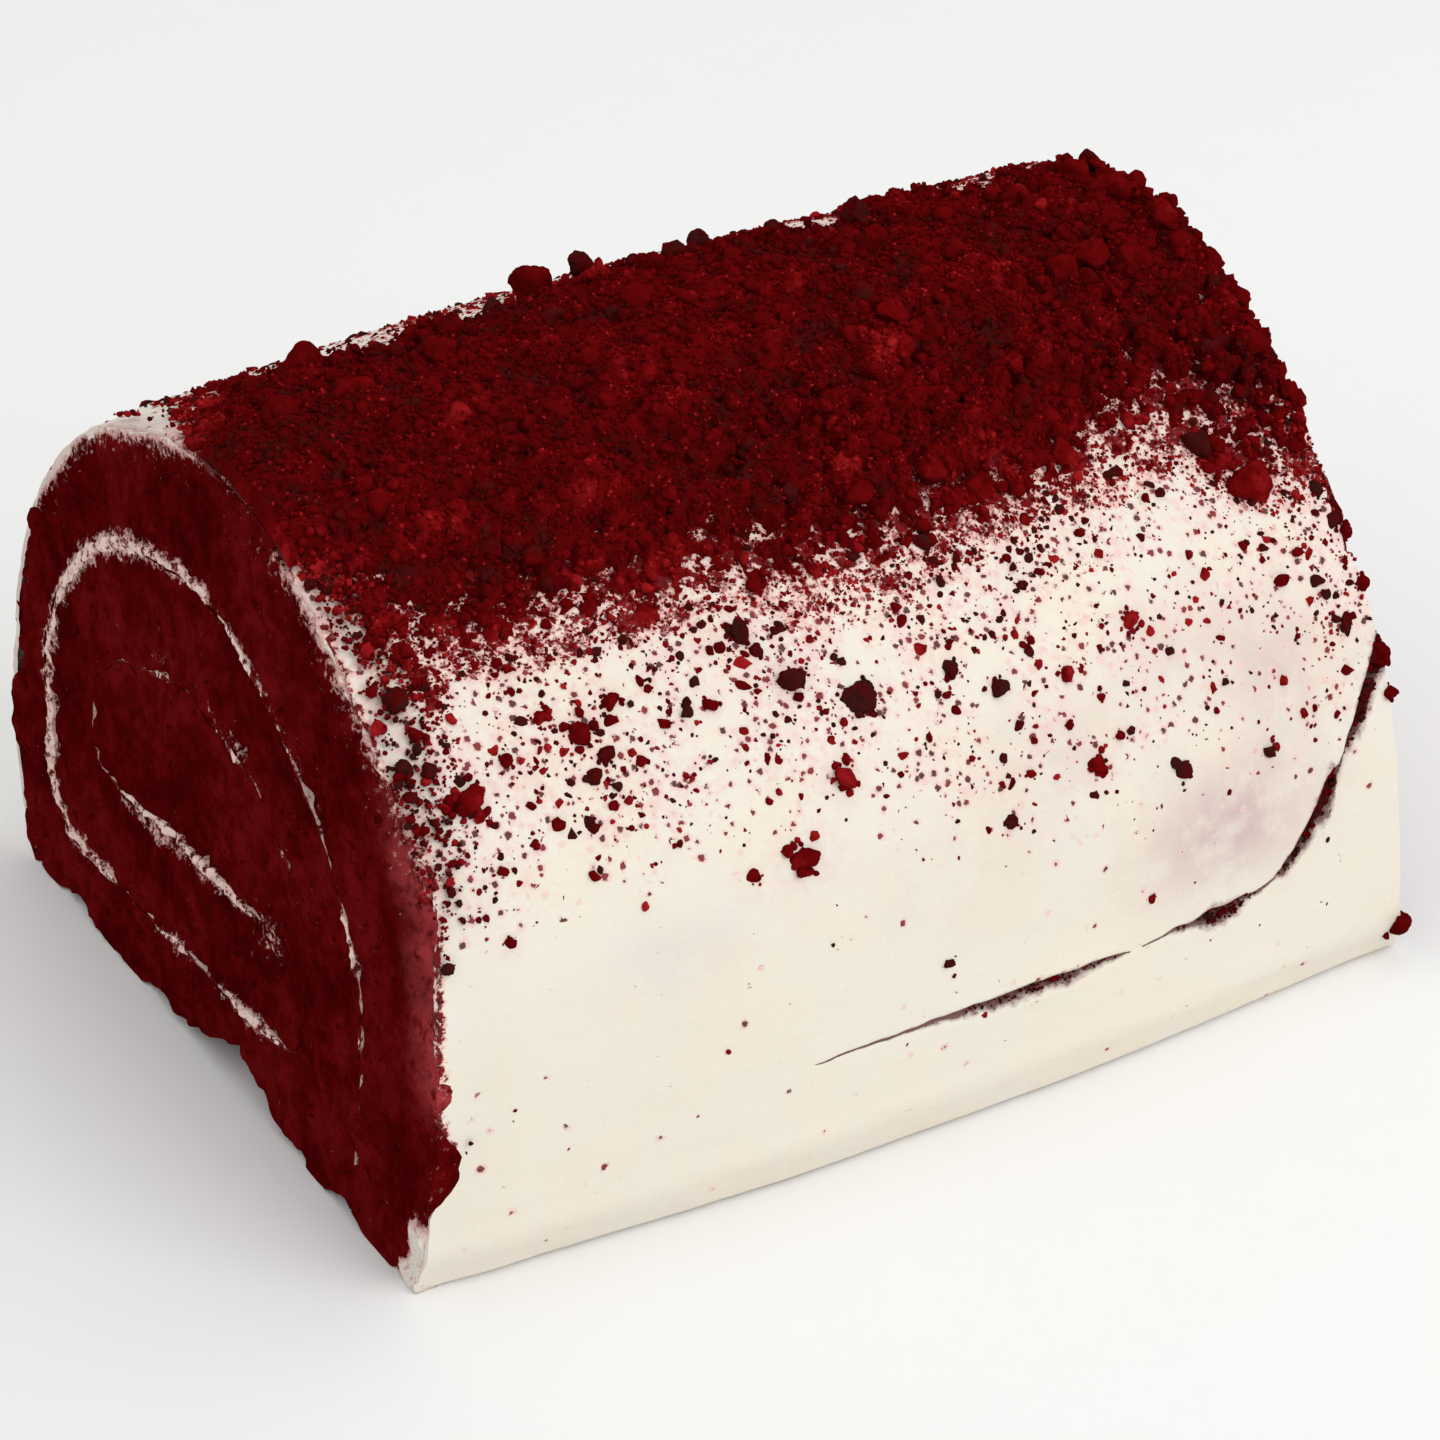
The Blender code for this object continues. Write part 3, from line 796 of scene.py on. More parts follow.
@dataclass(frozen=True)
class CreamFinish(Finish):
    """Soft cream dragged across the cut, stained and speckled by crumbs."""

    name: str = "cream_stained"
    cream: Colour = (0.88, 0.68, 0.61)
    pink: Colour = (0.60, 0.25, 0.22)
    crumb: Colour = (0.13, 0.0035, 0.0045)
    grain: float = 1.4 * MM
    fleck: float = 1.3 * MM
    depth: float = 0.5 * MM

    def inputs(self, graph: Graph) -> dict[str, object]:
        """What goes into the shader.

        Args:
            graph: The material's graph.

        Returns:
            Sockets and values by the names of the inputs.
        """
        place = graph.where()
        spread = graph.effect(Effect.SPREAD, Place=place, Grain=self.grain).outputs
        stain = graph.ease(graph.clouds(place, self.fleck, 4.0, 0.7), 0.40, 0.66)
        ragged = graph.clouds(place, self.fleck, 4.0, 0.72)
        buried = graph.ease(graph.plus(ragged, graph.times(graph.number("faint"), 0.24)), 0.54, 0.60)
        height = graph.minus(spread["Height"], graph.times(buried, 0.5))
        return {
            "Base Color": graph.blend(buried, graph.blend(stain, self.cream, self.pink), self.crumb),
            "Roughness": graph.ease(buried, 0.0, 1.0, 0.5, 0.9),
            "Normal": graph.relief(height, self.depth, 0.8),
            "Specular IOR Level": 0.12,
        }


@dataclass(frozen=True)
class IcingFinish(Finish):
    """Ivory icing spread thin over the sponge, which tints it where it is thinnest."""

    name: str = "icing_spread"
    ivory: Colour = (0.845, 0.800, 0.705)
    warm: Colour = (0.860, 0.790, 0.655)
    thin: Colour = (0.620, 0.455, 0.440)
    halo: Colour = (0.860, 0.600, 0.550)
    blush: Colour = (0.780, 0.370, 0.340)
    crack: Colour = (0.190, 0.0950, 0.0850)
    crack_edge: Colour = (0.46, 0.33, 0.31)
    red: Colour = (0.230, 0.0040, 0.0060)
    brown: Colour = (0.075, 0.0110, 0.0090)
    bed: Colour = (0.110, 0.0022, 0.0028)
    grain: float = 2.2 * MM
    dust: float = 0.95 * MM
    fleck: float = 0.62 * MM
    depth: float = 0.35 * MM

    def spread(self, graph: Graph, place: Socket, mottle: Socket) -> Socket:
        """Colour of the icing itself: ivory, lilac where it is thin and pink where crumbs lie near.

        Args:
            graph: The material's graph.
            place: Places on the piece.
            mottle: Where it is warmer.

        Returns:
            The colour.
        """
        colour = graph.blend(mottle, self.ivory, self.warm)
        patchy = graph.ease(graph.clouds(place, 5 * MM, 5.0, 0.65), 0.30, 0.60, 0.35, 1.0)
        colour = graph.blend(graph.times(graph.number("thin"), patchy), colour, self.thin)
        patchy = graph.ease(graph.clouds(place, 1.2 * MM, 4.0, 0.7), 0.36, 0.62)
        halo = graph.times(graph.number("halo"), patchy)
        return graph.blend(graph.times(halo, 0.75), colour, self.halo)

    def sprinkled(self, graph: Graph, place: Socket, colour: Socket, dust: dict[str, Socket]) -> Socket:
        """Adds fine dust, brown or red, with a stain round each grain.

        Args:
            graph: The material's graph.
            place: Places on the piece.
            colour: Colour of the icing.
            dust: The dust's outputs.

        Returns:
            The colour.
        """
        colour = graph.blend(graph.times(dust["Stain"], 0.9), colour, self.halo)
        lot = graph.ease(graph.clouds(place, 2.5 * MM, 2.0), 0.47, 0.53)
        return graph.blend(graph.times(dust["Mask"], 0.94), colour, graph.blend(lot, self.brown, self.red))

    def crusted(self, graph: Graph, place: Socket, colour: Socket) -> tuple[Socket, Socket]:
        """Adds the crust of fine crumbs that hides the icing at the bed, with a blush round it.

        Args:
            graph: The material's graph.
            place: Places on the piece.
            colour: Colour of the icing.

        Returns:
            The colour, and where the crust lies.
        """
        cover = graph.number("cover")
        broad = graph.clouds(place, 2.4 * MM, 3.0, 0.6)
        flecks = graph.plus(graph.clouds(place, self.fleck, 4.0, 0.7), broad)
        level = graph.plus(graph.times(flecks, 0.5), graph.times(cover, 0.24))
        pale = graph.times(graph.ease(level, 0.56, 0.68), graph.ease(cover, 0.0, 0.25, 0.0, 0.85))
        colour = graph.blend(pale, colour, self.blush)
        crust = graph.ease(level, 0.655, 0.695)
        layer = graph.blend(graph.ease(graph.clouds(place, 0.9 * MM, 3.0), 0.38, 0.60), self.bed, self.red)
        return graph.blend(crust, colour, graph.blend(graph.ease(cover, 0.7, 1.0), layer, self.bed)), crust

    def cracked(self, graph: Graph, place: Socket, colour: Socket) -> tuple[Socket, Socket]:
        """Adds the ragged crack with its thin edge.

        Args:
            graph: The material's graph.
            place: Places on the piece.
            colour: Colour of the icing.

        Returns:
            The colour, and where the crack is dark.
        """
        patchy = graph.plus(graph.clouds(place, 0.8 * MM, 4.0, 0.75), graph.clouds(place, 3.5 * MM, 2.0))
        away = graph.plus(graph.number("crack"), graph.times(graph.minus(patchy, 1.0), 2.7))
        colour = graph.blend(graph.ease(away, 2.3, 1.2, 0.0, 0.75), colour, self.crack_edge)
        dark = graph.ease(away, 1.35, 0.75)
        return graph.blend(dark, colour, self.crack), dark

    def inputs(self, graph: Graph) -> dict[str, object]:
        """What goes into the shader.

        Args:
            graph: The material's graph.

        Returns:
            Sockets and values by the names of the inputs.
        """
        place = graph.where()
        spread = graph.effect(Effect.SPREAD, Place=place, Grain=self.grain).outputs
        dust = graph.effect(Effect.DUST, Place=place, Grain=self.dust, Density=graph.number("dust")).outputs
        colour = self.sprinkled(graph, place, self.spread(graph, place, spread["Mottle"]), dust)
        colour, crust = self.crusted(graph, place, colour)
        colour, dark = self.cracked(graph, place, colour)
        raised = graph.math("MAXIMUM", dust["Mask"], crust)
        glossy = graph.ease(spread["Height"], 0.3, 0.7, 0.52, 0.40)
        dry = graph.times(graph.math("MAXIMUM", dark, raised), 0.9)
        height = graph.minus(spread["Height"], graph.times(dark, 0.8))
        return {
            "Base Color": colour,
            "Roughness": graph.math("MAXIMUM", glossy, dry),
            "Normal": graph.relief(graph.plus(height, graph.times(raised, 0.6)), self.depth, 0.7),
            "Specular IOR Level": 0.3,
        }


@dataclass(frozen=True)
class CrumbFinish(Finish):
    """Dry cake crumbs, from near-black brown to bright red."""

    name: str = "cake_crumbs"
    burnt: Colour = (0.045, 0.0090, 0.0075)
    maroon: Colour = (0.092, 0.0018, 0.0023)
    red: Colour = (0.150, 0.0028, 0.0036)
    bright: Colour = (0.38, 0.0140, 0.0160)
    # Colour of the painted shade in the crumbs' pores.
    pore_shade: Colour = (0.035, 0.0010, 0.0012)
    grain: float = 0.9 * MM
    depth: float = 0.5 * MM

    def inputs(self, graph: Graph) -> dict[str, object]:
        """What goes into the shader.

        Args:
            graph: The material's graph.

        Returns:
            Sockets and values by the names of the inputs.
        """
        crumb = graph.effect(Effect.OPEN_CRUMB, Place=graph.where(), Grain=self.grain).outputs
        # The tone that the points carry is lower in the bed's creases, as painted shade.
        tone = graph.plus(graph.number("tone"), graph.times(graph.minus(crumb["Tone"], 0.5), 0.30))
        stops = [(0.0, self.burnt), (0.3, self.maroon), (0.65, self.red), (1.0, self.bright)]
        return {
            # Painted shade: the pores are blended towards the pore colour.
            "Base Color": graph.blend(graph.times(crumb["Pores"], 0.4), graph.shades(tone, stops), self.pore_shade),
            "Normal": graph.relief(crumb["Height"], self.depth, 0.8),
            "Roughness": 0.95,
            "Specular IOR Level": 0.0,
        }


@dataclass(frozen=True)
class FloorFinish(Finish):
    """Plain pale paper."""

    name: str = "pale_floor"
    white: Colour = (0.95, 0.95, 0.945)
    shade: Colour = (0.8, 0.8, 0.8)

    def inputs(self, graph: Graph) -> dict[str, object]:
        """What goes into the shader, by the names of its inputs."""
        fibre = graph.ease(graph.clouds(graph.where(), 8 * MM, 4.0), 0.2, 0.8, 0.0, 0.03)
        colour = graph.blend(fibre, self.white, self.shade)
        return {"Base Color": colour, "Roughness": 0.9, "Specular IOR Level": 0.1}


@dataclass(frozen=True)
class CreamSpiral:
    """The cream between the sheet's turns, thick in lumps and rubbed away in places.

    The knots of thick and drift go by whole turns from the spiral's inner end.
    """

    roll: Roll
    step: float = 0.45 * MM
    across: int = 6
    thick: Knots = (
        (0.07, 0.15), (0.12, 0.2), (0.14, 0.7), (0.17, 1.15), (0.21, 1.0), (0.25, 0.8), (0.30, 0.95),
        (0.335, 0.8), (0.36, 0.5), (0.375, 0.2), (0.57, 0.15), (0.68, 0.25), (0.695, 0.6), (0.715, 0.5),
        (0.73, 0.25), (0.77, 0.35), (0.785, 0.5), (0.81, 0.6), (0.83, 0.8), (0.845, 0.25), (0.90, 0.15),
        (0.92, 0.6), (0.935, 0.3), (0.98, 0.15), (1.11, 0.2), (1.14, 0.5), (1.165, 1.1), (1.19, 0.9),
        (1.21, 0.4), (1.23, 0.3), (1.25, 0.9), (1.27, 0.6), (1.29, 0.3), (1.315, 0.25), (1.335, 0.8),
        (1.36, 1.3), (1.38, 0.8), (1.40, 1.5), (1.43, 1.7), (1.455, 1.2), (1.47, 1.7), (1.50, 1.1),
        (1.53, 1.4), (1.57, 1.0), (1.61, 1.5), (1.65, 1.3), (1.68, 1.6), (1.71, 1.0), (1.745, 1.2),
        (1.77, 0.7), (1.79, 0.6), (1.81, 0.7), (1.84, 0.45), (1.87, 0.6), (1.89, 0.35), (1.93, 0.2),
        (1.945, 0.6), (1.975, 0.7), (1.99, 0.25), (2.02, 0.5), (2.05, 0.2), (2.10, 0.15),
    )
    far_thick: float = 1.15 * MM
    least_thick: float = 0.14 * MM
    drift: Knots = (
        (0.12, 0.0), (0.17, -0.6), (0.30, -1.4), (0.38, -0.6), (0.50, 0.0), (0.62, -0.6), (0.68, -1.9),
        (0.74, -1.7), (0.80, -1.4), (0.86, -0.6), (0.92, 0.0), (1.75, 0.0), (1.80, -0.6), (1.86, -0.9),
        (1.93, -0.6), (2.0, 0.0),
    )
    hidden_stations: tuple[float, ...] = (0.8, 2.0, 4.0, 8.0, 30.0, 80.0, 104.0, 108.0, 109.2)

    @cached_property
    def turns(self) -> Array:
        """Turns of the spiral's points, evenly spaced along it.

        Returns:
            The turns.
        """
        sizes = self.roll.sizes
        dense = np.linspace(HALF_TURN + sizes.core_start, HALF_TURN + sizes.turns * TURN, 6000)
        way = way_along(*self.roll.cream_edge(dense, 0.0))
        return np.interp(np.linspace(0.0, way[-1], round(way[-1] / self.step)), way, dense)

    @property
    def wound(self) -> Array:
        """Whole turns from the spiral's inner end to its points."""
        return (self.turns - HALF_TURN) / TURN

    def thickness(self, along: float) -> Array:
        """How thick the cream is.

        Args:
            along: Share of the roll's length.

        Returns:
            Its thickness at each point of the spiral.
        """
        wound = self.wound
        left = between(wound, self.thick) * MM
        left *= TORN.over(wound, 0.0, (0.42, 0.013, 1), (0.38, 0.005, 2), base=1, unit=1)
        right = TORN.over(wound, 0.0, (0.95, 0.07, 3), (0.45, 0.018, 4), base=1, unit=1)
        right = self.far_thick * np.clip(right, 0.15, 2.2)
        ends = rise(wound, 0.05, 0.06) * rise(2.12 - wound, 0, 0.08)
        share = rise(along)
        return np.maximum((left * (1 - share) + right * share) * (0.25 + 0.75 * ends), self.least_thick)

    def wander(self, along: float) -> Array:
        """How far the cream strays from its even line, most of all at the cuts."""
        stray = TORN.over(self.wound, 0.0, (0.4, 0.028, 21 + round(along)), (0.22, 0.009, 23), unit=1)
        return (stray + between(self.wound, self.drift) * (1 - along)) * MM

    def relief(self, y: Array, z: Array, thickness: Array, side: float) -> Array:
        """How far the cream stands out of its cut.

        Args:
            y: Places on the cut.
            z: Heights of the places.
            thickness: The cream's thickness there.
            side: 1 at the near cut and 2 at the far one, for another noise.

        Returns:
            The distance, below 0 where it lies deeper.
        """
        lumps = TORN.over(y, z, (0.5, 2.2, side), (0.25, 0.9, side + 4))
        full = rise(thickness, 0.3 * MM, 0.7 * MM)
        return (-0.12 + 0.35 * full + lumps * (0.4 + 0.7 * full)) * MM

    def build(self) -> Mesh:
        """Makes the cream.

        Returns:
            Its mesh.
        """
        mesh = Mesh("faint")
        shares = np.linspace(-0.5, 0.5, self.across + 1)
        bow = 1 - (2 * shares) ** 4
        rings = []
        for along in self.roll.stations(self.hidden_stations):
            thickness = self.thickness(along)[:, None]
            out = shares * thickness + self.wander(along)[:, None]
            y, z = self.roll.cream_edge(self.turns[:, None], out)
            points = self.roll.place(along, y, z)
            if along in (0.0, 1.0):
                out = self.relief(y, z, thickness, 1 + along) * (0.35 + 0.65 * bow)
                points[..., 0] += out if along else -out
                faint = fall(thickness, 0.3 * MM, 0.5 * MM)
                mesh.grid(points, turned=not along, faint=np.repeat(faint, len(shares), 1))
            rings.append(points)
        body = np.stack(rings)
        sides = ((body[:, :, 0], False), (body[:, :, -1], True), (body[:, 0], True), (body[:, -1], False))
        for side, turned in sides:
            mesh.grid(side, turned=turned)
        return mesh


@dataclass(frozen=True)
class SpongeRoll:
    """The rolled sheet of sponge, with torn cut faces and a channel that the cream fills."""

    roll: Roll
    spiral: CreamSpiral
    step: float = 0.62 * MM
    channel_room: float = -0.04 * MM
    bevel: float = 1.9 * MM
    bevel_reach: float = 4.2 * MM
    base_width: float = 75 * MM
    outside_length: float = 190 * MM
    flap_width: float = 18 * MM
    slit: float = 0.35 * MM
    tear: float = 0.5 * MM
    ledge: float = 1.4 * MM
    bulge: float = 0.9 * MM
    bites: tuple[Triple, ...] = (
        (-8.0, 9.0, 4.6), (-31.5, 2.6, 1.6), (9.0, 3.0, 1.6), (30.0, 4.0, 1.2),
    )
    steps: tuple[Triple, ...] = ((22.0, 1.8, 2.4), (34.0, 3.0, 1.2), (9.0, 3.0, 1.3))
    hidden_stations: tuple[float, ...] = (0.8, 2.0, 4.0, 7.0, 12.0, 24.0, 55.0, 86.0, 102.0, 107.0, 109.2)

    def outside(self, distance: float) -> tuple[Array, Array]:
        """Points of the outside, under the icing, from the back foot over the top to the front foot.

        Args:
            distance: Distance from the cut face, where the icing is thin.

        Returns:
            Their y and z.
        """
        sizes = self.roll.sizes
        inset = sizes.icing + 0.1 * MM - 0.3 * MM * fall(distance, 0, sizes.rim_reach)
        back = self.roll.foot_turn(inset, 0.0, 2 * HALF_TURN, 1.5 * HALF_TURN)
        front = self.roll.foot_turn(inset, 0.0, 3 * HALF_TURN, 3.5 * HALF_TURN)
        y, z = self.roll.skin(np.linspace(back, front, 4000), inset)
        way = way_along(y, z)
        even = np.linspace(0.0, way[-1], round(self.outside_length / self.step))
        return np.interp(even, way, y), np.interp(even, way, z)

    def torn_outside(self, distance: float, near: float, side: float) -> Array:
        """Points of the outside, ragged at both cuts and broken in steps at the near one.

        Args:
            distance: Distance from the cut face.
            near: 1 at the cut face, easing to 0 behind it.
            side: Which noise it has.

        Returns:
            Its points as y and z.
        """
        y, z = self.outside(distance)
        high = z / MM
        either = max(near, fall(self.roll.sizes.length - distance, 0, 8 * MM))
        ragged = self.tear * either * TORN.over(y, z, (1, 6.5, side), (0.28, 1.8, side + 1))
        for height, half_width, depth in self.steps:
            ragged -= near * depth * MM * bell(high, height, half_width, 4) * (y > 0)
        ragged -= near * self.ledge * (rise(high, 41.5, 1.2) * fall(high, 44, 12) * (y > 0))
        ragged += near * self.bulge * bell(high, 14, 4, 4) * (y < 0)
        ragged = ragged * rise(z, 0, 3 * MM)
        points = np.stack([y, z], -1)
        away = points - np.array([0.0, 0.4 * self.roll.sizes.height])
        points = points + away / np.linalg.norm(away, axis=1, keepdims=True) * ragged[:, None]
        points[:, 1] = np.maximum(points[:, 1], 0.0)
        return points

    def section(self, along: float) -> Array:
        """Outline of the sheet at a share of the length: base, outside, slit, then the channel.

        Args:
            along: Share of the length.

        Returns:
            Its points as y and z.
        """
        distance = along * self.roll.sizes.length
        near = fall(distance, 0, 10 * MM)
        half = self.spiral.thickness(along) / 2 + self.channel_room
        stray = self.spiral.wander(along)
        outer = np.stack(self.roll.cream_edge(self.spiral.turns, half + stray), -1)
        inner = np.stack(self.roll.cream_edge(self.spiral.turns, -half + stray), -1)
        out = self.torn_outside(distance, near, 11.0 + round(along))
        slit = outer[-1, 0]
        base_y = np.linspace(slit + self.slit, out[0, 0], round(self.base_width / self.step))[:-1]
        flap_y = np.linspace(out[-1, 0], slit, round(self.flap_width / self.step))[1:]
        base, flap = (np.stack([y, self.base_height(y, distance, near)], -1) for y in (base_y, flap_y))
        return np.concatenate([base, out, flap, outer[::-1], inner])

    def base_height(self, y: Array, distance: float, near: float) -> Array:
        """Height of the base, where crumbs have come off it next to the cut.

        Args:
            y: Places across the base.
            distance: Distance from the cut face.
            near: 1 at the cut face, easing to 0 behind it.

        Returns:
            The heights.
        """
        height = np.zeros_like(y)
        for middle, half, depth in self.bites:
            height += depth * MM * bell(y / MM, middle, half)
        height += 0.9 * MM * np.maximum(0.0, TORN.over(y, distance, (1, 3, 5)))
        return height * near

    def cap_relief(self, points: Array, side: float) -> Array:
        """How far the torn sponge stands out of its cut, clear of the base.

        Args:
            points: Places on the cut as y and z.
            side: 1 at the near cut and 2 at the far one.

        Returns:
            The distance at each point.
        """
        y, z = points.T
        relief = TORN.over(y, z, (0.55, 9, side), (0.40, 3, side + 3), (0.30, 1.5, side + 6))
        pits = np.maximum(0.0, TORN.over(y, z, (1, 2.2, side + 9)) - 0.35)
        return (relief - 1.3 * pits) * MM * (z >= 0.3 * MM)

    def fill(self, outline: Array, seed: int) -> tuple[Array, Array]:
        """Fills a cut's outline with small triangles.

        Args:
            outline: The outline as y and z.
            seed: Number that the inner points' places follow from.

        Returns:
            Points as y and z, and their numbers in the triangles.
        """
        low, high = outline.min(0), outline.max(0)
        rng = np.random.default_rng(seed)
        y, z = np.meshgrid(np.arange(low[0], high[0], self.step), np.arange(low[1], high[1], self.step))
        inner = np.stack([y, z], -1).reshape(-1, 2) + rng.uniform(-0.3, 0.3, (y.size, 2)) * self.step
        given = [Vector(point) for point in np.concatenate([outline, inner])]
        rim = list(range(len(outline)))
        found, _, faces, *_ = geometry.delaunay_2d_cdt(given, [], [rim], 1, 1e-7)
        triangles = np.array([face for face in faces if len(face) == 3])
        used, index = np.unique(triangles, return_inverse=True)
        return np.array([tuple(point) for point in found])[used], index.reshape(triangles.shape)

    def cap(self, mesh: Mesh, outline: Array, far: bool) -> None:
        """Adds a cut face.

        Args:
            mesh: Where it goes.
            outline: The cut's outline as y and z.
            far: Whether it is the far cut.
        """
        points, triangles = self.fill(outline, 5 + far)
        placed = self.roll.place(float(far), points[:, 0], points[:, 1])
        way = self.to_rim(outline, points)
        relief = self.cap_relief(points, 2.0 if far else 1.0)
        placed[:, 0] += relief if far else self.worn(points, way) - relief
        line = np.stack(self.roll.cream_edge(self.spiral.turns, 0.0), -1)
        gap, number = nearest(points, line)
        thick = self.spiral.thickness(float(far))[number]
        smear = np.clip(1.1 - (gap - thick / 2) / (0.25 * MM + 0.7 * thick), 0, 1) * rise(thick, 0, 1.2 * MM)
        smear = np.maximum(0.85 * smear, self.rim_smear(points, way, far))
        if not far:
            end = line[0] + np.array([-1.5 * MM, -1.5 * MM])
            smear = np.maximum(smear, 0.62 * bell(np.linalg.norm(points - end, axis=1), 0, 3.2 * MM))
        first, second, third = (placed[triangles[:, corner]] for corner in range(3))
        turned = (np.median(np.cross(second - first, third - first)[:, 0]) > 0) != far
        skin = 0.9 * self.bare_skin(points) * (not far)
        mesh.add(placed, triangles[:, ::-1] if turned else triangles, smear=smear, skin=skin)

    def to_rim(self, outline: Array, points: Array) -> Array:
        """Gap from points on a cut, as y and z, to the sheet's outside."""
        start = round(self.base_width / self.step) - 1
        return nearest(points, outline[start : start + round(self.outside_length / self.step)])[0]

    def worn(self, points: Array, way: Array) -> Array:
        """How far the front rim is rounded back from the near cut, for points at a way from the outside."""
        y, z = points.T / MM
        return self.bevel * (bell(z, 40, 10) * (y < 0)) * fall(way, 0, self.bevel_reach)

    def rim_smear(self, points: Array, way: Array, far: bool) -> Array:
        """Where the knife dragged icing from the rim onto the cut.

        Args:
            points: Places on the cut as y and z.
            way: Their gaps to the sheet's outside.
            far: Whether it is the far cut.

        Returns:
            How strongly, 0 to 1.6.
        """
        y, z = points.T / MM
        top = rise(z, 40, 10) * rise(y, 2, 10)
        torn = rise(z, 38, 7) * fall(z, 60, 3) * (y < 0) * (not far)
        rim = (0.3 + 0.5 * top + 0.2 * far) * np.exp(-way / (0.7 * MM))
        rim += 0.55 * top * np.exp(-way / (2.2 * MM)) + 0.95 * torn * np.exp(-way / (1.9 * MM))
        ragged = TORN.over(points[:, 0], points[:, 1], (1.6, 2.4, 33), base=way / MM)
        foot = 1.6 * fall(ragged, 2.0, 1.8) * fall(z, 6.5, 3.5) * (y < 0) * (not far)
        return np.clip(np.maximum(rim, foot), 0, 1.6)

    def bare_skin(self, points: Array) -> Array:
        """Where the sheet's bare skin shows at the front rim.

        Args:
            points: Places on the cut as y and z.

        Returns:
            1 on it, easing to 0 away from it.
        """
        y, z = points.T
        depth = (self.roll.sizes.width / 2 + y) / MM - 0.02 * (z / MM - 23) ** 2
        shown = fall(TORN.over(y, z, (1.5, 5, 31), base=depth), 1, 6.5)
        return shown * rise(z / MM, 18, 7) * fall(z / MM, 42, 8)

    def build(self) -> Mesh:
        """Makes the sponge.

        Returns:
            Its mesh.
        """
        mesh = Mesh("smear", "skin")
        length = self.roll.sizes.length
        rings, skins, smears = [], [], []
        for along in self.roll.stations(self.hidden_stations):
            outline = self.section(along)
            points = self.roll.place(along, outline[:, 0], outline[:, 1])
            way = self.to_rim(outline, outline)
            if along in (0.0, 1.0):
                self.cap(mesh, outline, bool(along))
                relief = self.cap_relief(outline, 1 + along)
                points[:, 0] += relief if along else -relief
            if along < 0.5:
                points[:, 0] += fall(along * length, 0, 7 * MM) * self.worn(outline, way)
            rings.append(points)
            skins.append(self.bare_skin(outline) * (along < 0.1))
            foot = 1.5 * rise(1.4 - outline[:, 1] / MM, 0, 0.5) * (np.abs(outline[:, 0]) > 40 * MM)
            from_cut = min(along, 1 - along) * length
            dragged = self.rim_smear(outline, way, along > 0.5) * fall(from_cut, 0, 3 * MM)
            smears.append(np.maximum(foot, dragged))
        closed = np.append(np.arange(len(outline)), 0)
        body, skin, smear = (np.stack(part)[:, closed] for part in (rings, skins, smears))
        mesh.grid(body, skin=skin, smear=smear)
        return mesh


